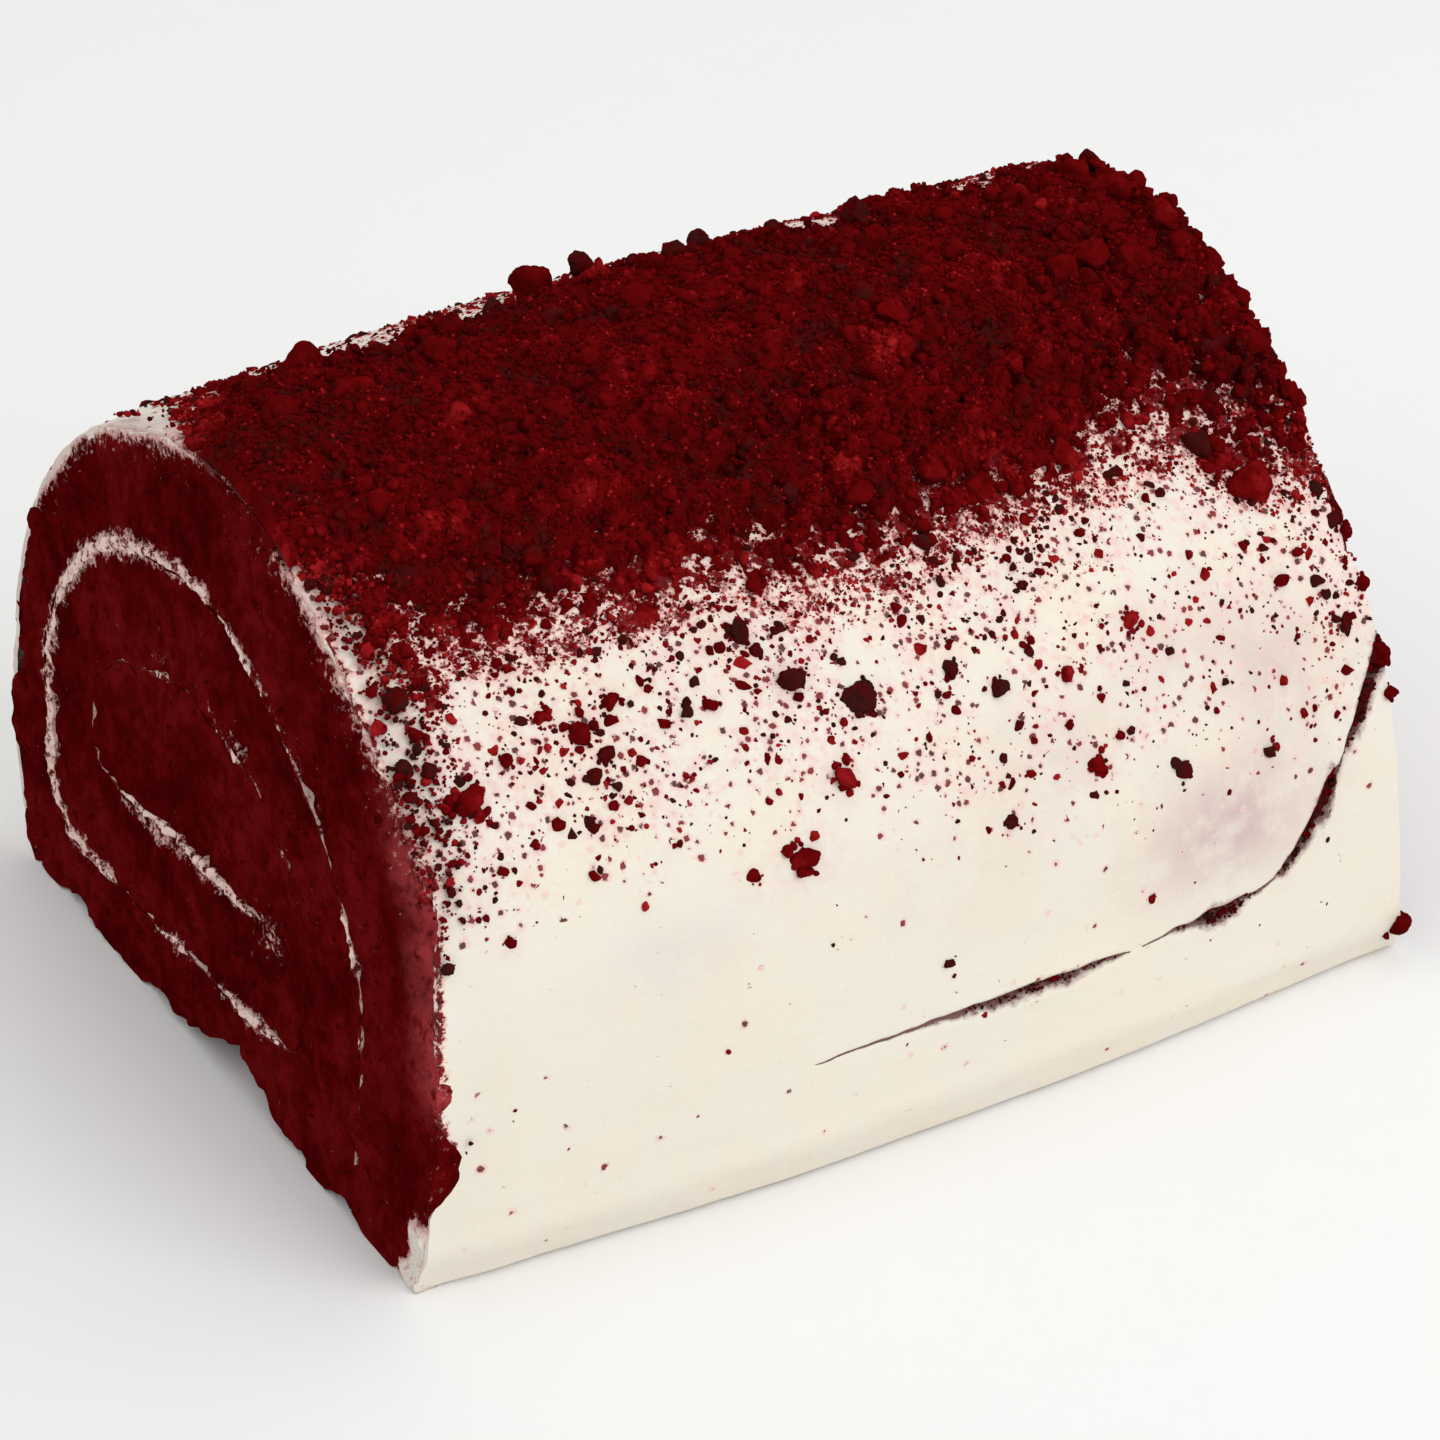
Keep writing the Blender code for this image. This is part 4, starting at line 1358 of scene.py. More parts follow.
@dataclass(frozen=True)
class Blanket:
    """Where the crumbs lie: the edges of their bed on the top, and how they thin out round it."""

    front: Knots = (
        (0, 65), (3, 63.5), (7, 58), (11, 61.5), (18, 60.3), (26, 60.0), (39, 60.2), (44, 57), (51, 56.3),
        (58, 57.4), (65, 57.8), (71, 58.8), (85, 59.4), (90, 60.5), (95, 59), (97, 54.5), (104, 52.5),
        (110, 53),
    )
    fringe: Knots = (
        (0, 9), (11, 11), (20, 12), (28, 10), (39, 14), (48, 20), (58, 20), (65, 16), (75, 12), (85, 16),
        (92, 26), (110, 28),
    )
    left: Knots = (
        (45, 9), (60, 6), (66, 3.4), (72, 1.8), (77, 0.4), (80, -4), (86, -7), (96, -7), (99, -3),
        (102, -0.5), (105, 1), (108, 3), (114, 6), (120, 8),
    )
    back: float = 119.0
    bare: tuple[Patch, ...] = (
        Patch(23, 116, 8.5, 9, 0.85), Patch(39, 112, 5.5, 6, 0.75),
        Patch(76.5, 113, 4.5, 6.5, 0.8), Patch(94, 111.5, 5.5, 5.5, 0.75),
        Patch(59, 118, 5, 5, 0.6),
    )
    sprinkled_down_to: Knots = ((0, 29), (20, 30), (45, 31), (60, 22), (110, 20))
    sprinkled_share: Knots = ((0, 0.44), (40, 0.40), (60, 0.26), (110, 0.22))
    right_rim: float = 109.5

    def depth(self, spots: Spots) -> Array:
        """How many millimetres places lie inside the bed, below 0 outside it.

        Args:
            spots: Places on the skin.

        Returns:
            The depths.
        """
        d, c = spots.mm
        behind = self.back - c + SCATTER.on(spots, (2, 9, 2))
        left = SCATTER.on(spots, (0.8, 3, 3), base=d - between(c, self.left))
        wander = SCATTER.on(spots, (1.3, 5, 1), (0.8, 2.2, 4))
        return np.minimum(np.minimum(c - between(d, self.front), behind), left) + wander

    def cover(self, spots: Spots) -> Array:
        """Share of the icing that crumbs hide, 0 to 1.

        Args:
            spots: Places on the skin.

        Returns:
            The share at each place.
        """
        d, c = spots.mm
        depth = self.depth(spots)
        wide = between(d, self.fringe) * SCATTER.on(spots, (0.7, 9, 5), base=1)
        near_left = np.clip((d - between(c, self.left)) / (1.5 + 0.1 * np.maximum(c - 60, 0)), 0, 1)
        inside = 1 - 0.55 * np.exp(-2.0 * np.maximum(depth, 0) / np.maximum(wide, 1.5))
        inside = np.where(near_left < 1, np.maximum(inside, 0.5 + 0.4 * near_left), inside)
        share = np.where(depth < 0, 0.5 * np.exp(np.minimum(depth, 0) / 1.5), inside)
        for patch in self.bare:
            share = share * (1 - patch.strength * np.exp(-(patch.gap(spots) ** 2)))
        return np.clip(share, 0, 1)

    def solid(self, spots: Spots) -> Array:
        """Where the bed lies, 0 or 1 with soft edges: flecks of icing stay free of it."""
        level = 1 / (1 + np.exp(-3.2 * SCATTER.on(spots, (1, 2.4, 6), (0.8, 1.1, 7))))
        return rise((self.cover(spots) - 0.50 - 0.46 * level) / 0.16 + 0.5)

    def sprinkled(self, spots: Spots) -> Array:
        """How thickly crumbs are sprinkled outside the bed, 0 to 1.

        Args:
            spots: Places on the skin.

        Returns:
            The share at each place.
        """
        d, c = spots.mm
        short, over = between(d, self.front) - c, c - self.back
        patches = np.clip(SCATTER.on(spots, (1.3, 6, 8), (0.8, 2.2, 9), base=1), 0.06, 2.6)
        thin = between(d, self.sprinkled_share) * fall(between(d, self.sprinkled_down_to) + 16 - c, 0, 12)
        front = 0.66 * np.exp(-np.maximum(short, 0) / 4.5) + thin
        behind = 0.62 * np.exp(-np.maximum(over, 0) / 5.0) + 0.12 * fall(over, 18, 25)
        share = np.where(over > 0, behind, np.where(short > 0, front, 0.75))
        rim = 0.9 * np.exp(-((self.right_rim - d) / 4.0)) * rise(c, 35, 8)
        rim = rim + 0.9 * np.exp(-d / 4.0) * rise(c, 40, 8)
        corner = rise(c, 104, 4) * fall(d, 4, 5)
        share = (share * patches + rim * (c < 125)) * (1 - 0.93 * corner)
        return np.clip(share + 0.010 * fall(c, 24, 10), 0, 1)


class Lump(NamedTuple):
    """One of the crumbs that stand out: its place, its radius, and its tone from 0, burnt, to 1, bright."""

    distance: float
    climb: float
    radius: float
    tone: float

    @property
    def red(self) -> bool:
        """Whether it is red rather than burnt."""
        return self.tone > 0.3


ICING_LUMPS = tuple(Lump(*row) for row in (
    (49, 48, 2.2, 0.02), (39, 35.5, 2.4, 0.62), (45, 41.5, 1.8, 0.7), (42.5, 51.5, 2, 0.12),
    (39, 57, 1.5, 0.1), (7.5, 49.5, 2.3, 0.6), (20, 52.5, 2, 0.45), (3.5, 60.5, 1.8, 0.1),
    (64, 45, 1.4, 0.05), (59.5, 48, 1.2, 0.1), (73, 35, 1.5, 0.65), (83, 31.5, 1.3, 0.05),
    (81, 47, 1.4, 0.75), (33.5, 35, 1.1, 0.6), (62, 32.5, 1, 0.1), (106.5, 39.5, 1.5, 0.2),
    (54, 20, 0.9, 0.1), (78, 19, 0.8, 0.6), (40.2, 55, 1.1, 0.15), (43, 56.3, 1.1, 0.1),
    (2.2, 54.1, 1.3, 0.02), (4.3, 57, 1.3, 0.6), (22, 50, 1.2, 0.15), (18.7, 43.8, 0.9, 0.05),
    (76.2, 37, 0.8, 0.6), (75.3, 41, 0.7, 0.6), (33.5, 51.5, 1.1, 0.5), (61.4, 60.5, 1.4, 0.1),
    (8.3, 35.7, 0.8, 0.4), (1.8, 35.2, 0.8, 0.1), (70.8, 39.5, 0.7, 0.5), (65.2, 41, 0.8, 0.2),
    (65.3, 36.3, 0.7, 0.6), (77.8, 59.4, 1, 0.1), (78.7, 56.7, 0.8, 0.6), (28, 54.6, 0.7, 0.6),
    (87.7, 58, 0.8, 0.5), (85.3, 61.5, 1.4, 0.2), (103, 47.8, 0.8, 0.6), (90.9, 42.4, 0.7, 0.5),
    (109.4, 35.6, 1.9, 0.25), (109.8, 43, 1.2, 0.4), (109.5, 48.5, 1.3, 0.4), (109.9, 31.5, 1.1, 0.4),
    (109.4, 3.6, 1.9, 0.3), (24, 54.5, 1.2, 0.55), (17, 55, 1.3, 0.6), (12, 52, 1.1, 0.5),
))
TOP_LUMPS = tuple(Lump(*row) for row in (
    (15, 106.5, 4, 0.4), (9, 99, 3.1, 0.48), (16, 96.5, 2.5, 0.5), (26.5, 98.5, 2.2, 0.45),
    (44, 112, 2.6, 0.4), (50, 111.5, 2.1, 0.1), (49, 97.5, 2.8, 0.35), (65, 114, 1.5, 0.05),
    (79, 105.5, 2, 0.2), (91, 84, 2, 0.5), (95.5, 85.5, 2.5, 0.5), (100.5, 56, 3, 0.62),
    (96, 61.5, 2, 0.1), (80.5, 65, 1.7, 0.65), (103, 100, 2.2, 0.5), (104, 94.5, 2.3, 0.55),
    (106, 87.5, 2.2, 0.58), (109, 98, 1.8, 0.5), (109.3, 92, 1.5, 0.4), (108.8, 82, 1.9, 0.5),
    (109.4, 76, 1.7, 0.45), (109.2, 70.5, 1.3, 0.35), (109.2, 64, 1.2, 0.5), (108, 105, 1.6, 0.3),
    (38, 109.5, 1.4, 0.1), (56, 112, 1.3, 0.3), (73.5, 113.5, 1.1, 0.05), (84, 112.5, 1.6, 0.45),
))


@dataclass(frozen=True)
class IcingCoat:
    """The coat of icing, uneven from the knife, cracked along the sheet's end and ragged at the cut.

    The crack's knots are half widths at distances. Each knife mark has a strength, a stretch and a width.
    """

    roll: Roll
    blanket: Blanket
    seam_climb: float = 13.6 * MM
    seam_slope: float = 1.46
    seam_bend: float = 94.5 * MM
    seam_ease: float = 3 * MM
    seam_fades: float = 62 * MM
    crack: Knots = (
        (38, 0.0), (42, 0.08), (50, 0.14), (56, 0.36), (62, 0.5), (67, 0.52), (71, 0.38), (74, 0.2),
        (75.5, 0.02), (79.5, 0.02), (81, 0.3), (83, 0.28), (85, 0.8), (89, 0.75), (91, 0.2), (93.5, 0.12),
        (95, 0.6), (97.5, 0.9), (99.3, 1.1), (100.5, 1.7), (101.6, 1.1), (102.5, 0.2), (103.2, 0.25),
        (104, 0.8), (105, 0.9), (107, 1.1), (112, 1.4),
    )
    crack_rows: tuple[float, ...] = (-1.7, -1.1, -0.7, -0.42, -0.2, 0.0, 0.2, 0.42, 0.7, 1.1, 1.7)
    near_columns: tuple[float, ...] = (0.0, 0.2, 0.45, 0.75, 1.1, 1.5, 2.0, 2.6, 3.3, 4.0)
    knife_marks: tuple[Triple, ...] = ((0.22, 0.45, 11), (0.12, 0.5, 4.5), (0.04, 0.8, 1.9))
    step: float = 0.8 * MM
    top_step: float = 1.3 * MM
    margin: float = 0.25 * MM
    bare_margin: float = 1.8 * MM
    bare_climb: float = 43 * MM
    bare_spread: float = 9 * MM
    bulge_margin: float = 1.7 * MM
    bulge_climb: float = 14.5 * MM
    bulge_spread: float = 4.2 * MM
    thin: tuple[Patch, ...] = (
        Patch(88, 24, 11, 6.5, 0.95), Patch(97, 38, 7, 7, 0.6), Patch(86, 44, 8, 5, 0.4),
        Patch(69, 38, 9, 5, 0.35), Patch(57, 30, 13, 7, 0.18), Patch(25, 30, 9, 4, 0.2),
    )

    def seam(self, distance: Array) -> Array:
        """Climb of the crack at distances from the cut face."""
        past = distance - self.seam_bend
        wobble = KNIFE.over(distance, 0.0, (0.3 * MM, 7, 5), (0.16 * MM, 2.4, 6))
        return self.seam_climb + self.seam_slope * (np.hypot(past, self.seam_ease) + past) / 2 + wobble

    def crack_half(self, distance: Array) -> Array:
        """Half the crack's width at distances from the cut face."""
        half = between(distance / MM, self.crack) * MM
        return half * KNIFE.over(distance, 0.0, (0.3, 1.6, 7), base=1)

    def lift(self, spots: Spots) -> Array:
        """Height of the icing's outside over the nominal skin.

        Args:
            spots: Places on the skin.

        Returns:
            The heights.
        """
        distance, climb = spots.distance, spots.climb
        marks = 0.0
        for layer, (strength, stretch, width) in enumerate(self.knife_marks, 1):
            marks = KNIFE.over(distance * stretch, climb, (strength, width, layer), base=marks)
        lift = (1 + 0.7 * rise(climb, 118 * MM, 10 * MM)) * marks * MM - 0.15 * MM
        crease = KNIFE.over(distance, 0.0, (1.3 * MM, 18, 4), base=4.6 * MM)
        return lift + (0.45 * bell(climb, crease, 1.6 * MM) - 0.35 * fall(climb, 0, crease)) * MM

    def rows(self) -> Array:
        """Climbs of the grid's rows where the crack runs level, closest together at the crack.

        Returns:
            The climbs.
        """
        cracked = self.seam_climb + np.array(self.crack_rows) * MM
        below = np.arange(0.0, cracked[0] - self.step / 2, self.step)
        front = np.arange(cracked[-1] + self.step, 66 * MM, self.step)
        top = np.arange(front[-1] + self.top_step, 108 * MM, self.top_step)
        behind = np.arange(top[-1] + self.step, self.roll.full_climb - self.step / 2, 1.1 * self.step)
        return np.concatenate([below, cracked, front, top, behind, [self.roll.full_climb]])

    def columns(self) -> Array:
        """Distances of the grid's columns, closest together at the near cut."""
        length = self.roll.sizes.length
        even = np.arange(4.8 * MM, length - 0.5 * MM, self.step)
        return np.concatenate([np.array(self.near_columns) * MM, even, [length]])

    def drawn_back(self, distance: Array, level: Array) -> Array:
        """Distances of the grid's points, where the icing stops ragged before both cuts.

        Args:
            distance: Even distances.
            level: Climbs of the rows.

        Returns:
            The ragged distances.
        """
        mm = level / MM
        torn = 1 + 2.2 * (rise(mm, 42, 6) * fall(mm, 84, 8))
        ragged = TORN.over(level, 0.0, (0.35, 4.5, 3), (0.3, 1.6, 4)) * torn
        bare = bell(level, self.bare_climb, self.bare_spread)
        bulge = bell(level, self.bulge_climb, self.bulge_spread, 4)
        margin = self.margin + self.bare_margin * bare + self.bulge_margin * bulge
        margin = (margin + ragged * MM * (0.6 + bare)) * rise(level, 0, 7 * MM)
        distance = distance + np.maximum(margin, -0.2 * MM) * fall(distance, 0, 12 * MM)
        bared = 0.3 + 0.9 * bell(level, 42 * MM, 12 * MM, 4) + 0.5 * (level > 60 * MM)
        ragged = TORN.over(level, 0.0, (0.7, 4, 5), (0.5, 1.6, 6), base=1)
        short = MM * bared * np.clip(ragged, 0.1, 2)
        return distance - short * rise(distance / self.roll.sizes.length, 0.96, 0.04)

    def bent(self, distance: Array, level: Array) -> Array:
        """Climbs of the grid's points, whose rows follow the crack and straighten out above it."""
        above = np.clip((self.seam_fades - level) / (self.seam_fades - self.seam_climb), 0, 1)
        share = np.where(level < self.seam_climb, level / self.seam_climb, above)
        return level + (self.seam(distance) - self.seam_climb) * share

    def build(self) -> Mesh:
        """Makes the icing.

        Returns:
            Its mesh.
        """
        size = self.roll.sizes
        column, level = np.meshgrid(self.columns(), self.rows(), indexing="ij")
        distance = self.drawn_back(column, level)
        spots = Spots(distance, self.bent(distance, level))
        half = self.crack_half(distance)
        away = np.abs(spots.climb - self.seam(distance))
        thinner = (size.icing - size.rim_icing) * fall(distance, 0, size.rim_reach)
        lift = self.lift(spots) - (thinner - 0.12 * MM)
        groove = np.minimum(0.9 * MM, 1.5 * half) * fall(away, 0, half + 0.35 * MM)
        shoulder = 0.22 * MM * bell(away - half, 0.9 * MM, 0.8 * MM) * rise(half, 0, 0.4 * MM)
        values = self.stains(spots, away, half)
        torn_rim = rise(1 - column / (1.3 * MM)) * rise(level / MM, 9, 4) * fall(level / MM, 70, 6)
        values["cover"] = np.maximum(values["cover"], 0.8 * torn_rim)
        outer = self.roll.on_skin(spots, lift + (shoulder - groove), size.icing_foot)
        rims = 2 - rise(distance, 0, 4 * MM) - rise(size.length - distance, 0, 4 * MM)
        under = self.roll.on_skin(spots, -size.icing - 0.45 * MM * rims, size.icing_foot)
        mesh = Mesh(*values)
        mesh.grid(outer, turned=True, **values)
        every = slice(None)
        sides = (((0, every), False), ((-1, every), True), ((every, 0), True), ((every, -1), False))
        for pick, turned in sides:
            edge = np.stack([outer[pick], (outer[pick] + under[pick]) / 2, under[pick]])
            own = {name: np.stack([value[pick]] * 3) for name, value in values.items()}
            mesh.grid(edge, turned=turned, **own)
        return mesh

    def stains(self, spots: Spots, away: Array, half: Array) -> dict[str, Array]:
        """Numbers that tint the icing.

        Args:
            spots: Places on the skin.
            away: Gap to the crack's middle.
            half: Half the crack's width.

        Returns:
            Crack, thin, halo, dust and cover, for each point.
        """
        d, c = spots.mm
        crack = np.where(half > 0.02 * MM, away / np.maximum(half, 0.08 * MM), 9.0)
        sprinkled = self.blanket.sprinkled(spots)
        halo = 1.15 * sprinkled
        for lump in ICING_LUMPS:
            if lump.red:
                gap = np.hypot(d - lump.distance, c - lump.climb)
                halo = np.maximum(halo, 0.9 * bell(gap, 0, 1.7 * lump.radius))
        thin = sum(patch.strength * np.exp(-patch.gap(spots)) for patch in self.thin)
        thin = thin + 0.12 * bell(c, 2, 3) + 0.8 * fall(spots.distance, 0, 5 * MM) * (spots.climb > 70 * MM)
        right = rise(d, 107, 2) * rise(c, 60, 3) * rise(113 - c, 0, 3)
        left = rise(1.5 - d, 0, 1.2) * rise(c, 77, 2) * rise(100 - c, 0, 2)
        cover = np.maximum(self.blanket.cover(spots), 1.15 * np.maximum(left, right))
        tints = {"thin": thin, "halo": halo, "dust": 1.8 * sprinkled, "cover": cover}
        clipped = {name: np.clip(tint, 0, 1.15) for name, tint in tints.items()}
        return {"crack": np.minimum(crack, 9.0), **clipped}


@dataclass(frozen=True)
class Strewn:
    """Crumbs to lay out, with numbers for each.

    The tone goes from 0, burnt, to 1, bright red; on the bed it is also lower in the creases, as painted
    shade. The lift is the height over the skin of what a crumb lies on, and the sink is how deep it is
    pressed in, as a share of its radius.
    """

    spots: Spots
    radius: Array
    tone: Array
    lift: Array
    sink: Array

    def of(self, chosen: Array) -> "Strewn":
        """The chosen ones among the crumbs."""
        numbers = (self.radius, self.tone, self.lift, self.sink)
        return Strewn(self.spots.of(chosen), *(part[chosen] for part in numbers))


class CrumbShapes:
    """A few torn lumps of cake, made once and copied in many sizes."""

    def __init__(self, fineness: int, count: int, seed: int, roughness: float) -> None:
        """Tears the lumps.

        Args:
            fineness: How often the starting ball's faces are split, or 0 for an eight-sided chip.
            count: How many lumps.
            seed: Number that they follow from.
            roughness: How uneven their faces are.
        """
        self.rng = np.random.default_rng(seed)
        base, self.faces = self.ball(fineness) if fineness else self.chip()
        self.shapes = []
        for number in range(count):
            shape = base.copy()
            for _ in range(7):
                side = self.rng.normal(size=3)
                side /= np.linalg.norm(side)
                beyond = np.maximum(shape @ side - self.rng.uniform(0.5, 0.82), 0.0)
                shape -= 0.82 * beyond[:, None] * side
            place = base + 3.0 * number
            bumps = 1.3 * TORN.at(place, 0.8) + TORN.at(place, 0.42) + 0.6 * TORN.at(place, 0.2)
            shape *= 1 + roughness * bumps[:, None]
            shape *= self.rng.uniform(0.75, 1.2, 3)
            self.shapes.append(shape / np.linalg.norm(shape, axis=1).max())

    def ball(self, fineness: int) -> tuple[Array, Array]:
        """Points and faces of a ball of even triangles.

        Args:
            fineness: How often its faces are split.

        Returns:
            The points and the faces.
        """
        ball = bmesh.new()
        bmesh.ops.create_icosphere(ball, subdivisions=fineness, radius=1.0)
        points = np.array([tuple(vert.co) for vert in ball.verts])
        faces = np.array([[vert.index for vert in face.verts] for face in ball.faces])
        ball.free()
        return points, faces

    def chip(self) -> tuple[Array, Array]:
        """Points and faces of a chip with six corners and eight sides."""
        above = [(0, 1, 2), (1, 3, 2), (3, 4, 2), (4, 0, 2)]
        return np.concatenate([np.eye(3), -np.eye(3)]), np.array(above + [(b, a, 5) for a, b, _ in above])

    def turns(self, count: int) -> Array:
        """Random turns.

        Args:
            count: How many.

        Returns:
            Their matrices.
        """
        quaternions = self.rng.normal(size=(count, 4))
        w, x, y, z = (quaternions / np.linalg.norm(quaternions, axis=1, keepdims=True)).T
        return np.array([
            [1 - 2 * (y * y + z * z), 2 * (x * y - w * z), 2 * (x * z + w * y)],
            [2 * (x * y + w * z), 1 - 2 * (x * x + z * z), 2 * (y * z - w * x)],
            [2 * (x * z - w * y), 2 * (y * z + w * x), 1 - 2 * (x * x + y * y)],
        ]).transpose(2, 0, 1)

    def lay(self, mesh: Mesh, roll: Roll, crumbs: Strewn) -> None:
        """Copies lumps onto the roll.

        Args:
            mesh: Where they go.
            roll: The roll's form.
            crumbs: Where each lies, and what it is like.
        """
        places, ups = roll.on_skin(crumbs.spots, crumbs.lift), roll.outward(crumbs.spots)
        which = self.rng.integers(0, len(self.shapes), len(places))
        turns = self.turns(len(places))
        for number, shape in enumerate(self.shapes):
            chosen = np.nonzero(which == number)[0]
            if not len(chosen):
                continue
            radii, up = crumbs.radius[chosen], ups[chosen]
            local = np.einsum("nij,vj->nvi", turns[chosen], shape) * radii[:, None, None]
            lowest = np.einsum("nvi,ni->nv", local, up).min(1)
            raised = -lowest - crumbs.sink[chosen] * radii
            points = local + (places[chosen] + up * raised[:, None])[:, None]
            faces = self.faces[None] + (np.arange(len(chosen)) * len(shape))[:, None, None]
            tone = np.repeat(crumbs.tone[chosen], len(shape))
            mesh.add(points.reshape(-1, 3), faces.reshape(-1, 3), tone=tone)


@dataclass(frozen=True)
class Sort:
    """A sort of small crumbs: how many there are, and what they are drawn from.

    Climbs and radii are in millimetres. The tone is a mean and a spread, and tones are its limits. Shapes
    are what CrumbShapes makes them from.
    """

    count: int
    climbs: Range
    radii: Range
    tone: Range
    tones: Range
    sinks: Range
    shapes: tuple[int, int, int, float]


@dataclass(frozen=True)
class Crumbs:
    """The bed of crumbs and everything sprinkled round it.

    Radii, and the ranges that crumbs are drawn in, are in millimetres. A spread of radii has a middle one,
    how widely the others' logarithms lie round it, and their limits.
    """

    roll: Roll
    blanket: Blanket
    coat: IcingCoat
    bed: float = 1.9 * MM
    bed_step: float = 0.52 * MM
    bed_ends: Range = (0.5 * MM, 109.3 * MM)
    bed_climbs: Range = (50 * MM, 126 * MM)
    under: float = 0.9 * MM
    right_end: float = 109.6 * MM
    boulders: int = 42
    lumps: int = 90
    pebbles: Sort = Sort(
        1300, (52, 118), (0.4, 1.0), (0.02, 0.08), (0.22, 0.9), (0.6, 1.3), (2, 10, 43, 0.13)
    )
    grains: Sort = Sort(
        17000, (50, 126), (0.2, 0.5), (0.01, 0.08), (0.22, 0.9), (0.3, 0.9), (0, 12, 44, 0.1)
    )
    fringe: Sort = Sort(
        14000, (46, 130), (0.14, 0.36), (0.80, 0.18), (0.05, 1.0), (0.5, 1.0), (0, 12, 47, 0.1)
    )
    rim_crumbs: int = 420
    specks: int = 6200
    dots: int = 5500
    crack_crumbs: int = 120
    drawn_between: Range = (0.8, 109.4)
    boulder_radii: Range = (1.7, 3.2)
    lump_radii: Range = (0.9, 1.8)
    lump_climbs: Range = (62, 112)
    lump_tries: int = 40
    rim_climbs: Range = (60, 113)
    rim_radii: Spread = (0.5, 0.45, (0.2, 1.3))
    speck_radii: Spread = (0.31, 0.48, (0.14, 1.1))
    dot_radii: Spread = (0.18, 0.35, (0.09, 0.4))
    lump_seed: int = 31
    loose_seed: int = 57

    def clumps(self, spots: Spots) -> Array:
        """Rounded clumps in the bed, from 0 in the creases between them to about 1.

        Args:
            spots: Places on the skin.

        Returns:
            The height at each place.
        """
        distance, climb = spots.distance, spots.climb
        warp = SCATTER.on(spots, (1.2 * MM, 3, 16))
        large = np.abs(SCATTER.over(0.75 * distance + warp, climb - warp, (1, 6.5, 11)))
        small = np.abs(SCATTER.over(distance - warp, climb + warp, (1, 2.9, 12)))
        return 1.25 * large**0.8 + 0.65 * small**0.8

    def bed_tone_and_crease_shade(self, spots: Spots) -> Array:
        """Tone of the bed, with painted shade that darkens it in the creases between the clumps, and brighter
        where it is thin.

        Args:
            spots: Places on the skin.

        Returns:
            The tone at each place.
        """
        # Painted shade: the tone falls in the creases between the clumps.
        tone = 0.23 + 0.29 * np.minimum(self.clumps(spots), 1.1)
        tone = tone + SCATTER.on(spots, (0.20, 9, 15), (0.14, 3.4, 14))
        tone = tone - 0.07 * fall(spots.distance, 0, 40 * MM)
        return np.clip(tone + 0.37 * fall(self.blanket.depth(spots), 0, 10), 0.25, 0.9)

    def bed_height(self, spots: Spots) -> Array:
        """Height of the bed over the skin, under it where there are few crumbs.

        Args:
            spots: Places on the skin.

        Returns:
            The heights.
        """
        distance = spots.distance
        lumps = SCATTER.on(spots, (0.25, 1.4, 13), base=self.clumps(spots))
        thick = self.bed * (0.16 + 0.84 * rise(self.blanket.depth(spots), 2, 13)) * (0.45 + 0.95 * lumps)
        ends = rise(109.9 * MM - distance, 0, 3.5 * MM) * rise(distance + 0.6 * MM, 0, 3 * MM)
        return -self.under + (self.under + thick * (0.1 + 0.9 * ends)) * self.blanket.solid(spots)

    def bed_mesh(self) -> Mesh:
        """Makes the bed that the loose crumbs lie in.

        Returns:
            Its mesh.
        """
        inner = np.arange(*self.bed_ends, self.bed_step)
        columns = np.concatenate([[0.08 * MM], inner, [109.55 * MM, 109.85 * MM]])
        spots = Spots(*np.meshgrid(columns, np.arange(*self.bed_climbs, self.bed_step), indexing="ij"))
        height = self.bed_height(spots)
        height[[0, -1]] = np.minimum(height[[0, -1]], -0.6 * MM)
        points, tone = self.roll.on_skin(spots, height), self.bed_tone_and_crease_shade(spots)
        index = np.arange(height.size).reshape(height.shape)
        faces = np.stack([index[:-1, :-1], index[:-1, 1:], index[1:, 1:], index[1:, :-1]], -1).reshape(-1, 4)
        shown = height.reshape(-1)[faces].max(1) > -0.55 * MM
        used, packed = np.unique(faces[shown], return_inverse=True)
        mesh = Mesh("tone")
        mesh.add(points.reshape(-1, 3)[used], packed.reshape(-1, 4), tone=tone.reshape(-1)[used])
        return mesh

    def more_lumps(self, rng: Draws) -> Array:
        """Scatters lumps over the bed between those that are listed, the largest first.

        Args:
            rng: Source of the draws.

        Returns:
            Distance, climb, radius and tone of each, one a row.
        """
        taken = [lump[:3] for lump in TOP_LUMPS]
        found = []
        boulders = rng.uniform(*self.boulder_radii, self.boulders)
        radii = np.concatenate([boulders, rng.uniform(*self.lump_radii, self.lumps)])
        for radius in np.sort(radii)[::-1]:
            for _ in range(self.lump_tries):
                d, c = 109 - radius - 100 * rng.beta(1.0, 1.6), rng.uniform(*self.lump_climbs)
                free = all(math.dist((d, c), other[:2]) > 0.75 * (radius + other[2]) for other in taken)
                if free and self.blanket.cover(Spots.at(d, c)) > 0.8:
                    taken.append((d, c, radius))
                    own = self.bed_tone_and_crease_shade(Spots.at(d, c))
                    found.append((d, c, radius, np.clip(own + rng.normal(0.02, 0.1), 0.2, 0.8)))
                    break
        return np.array(found)

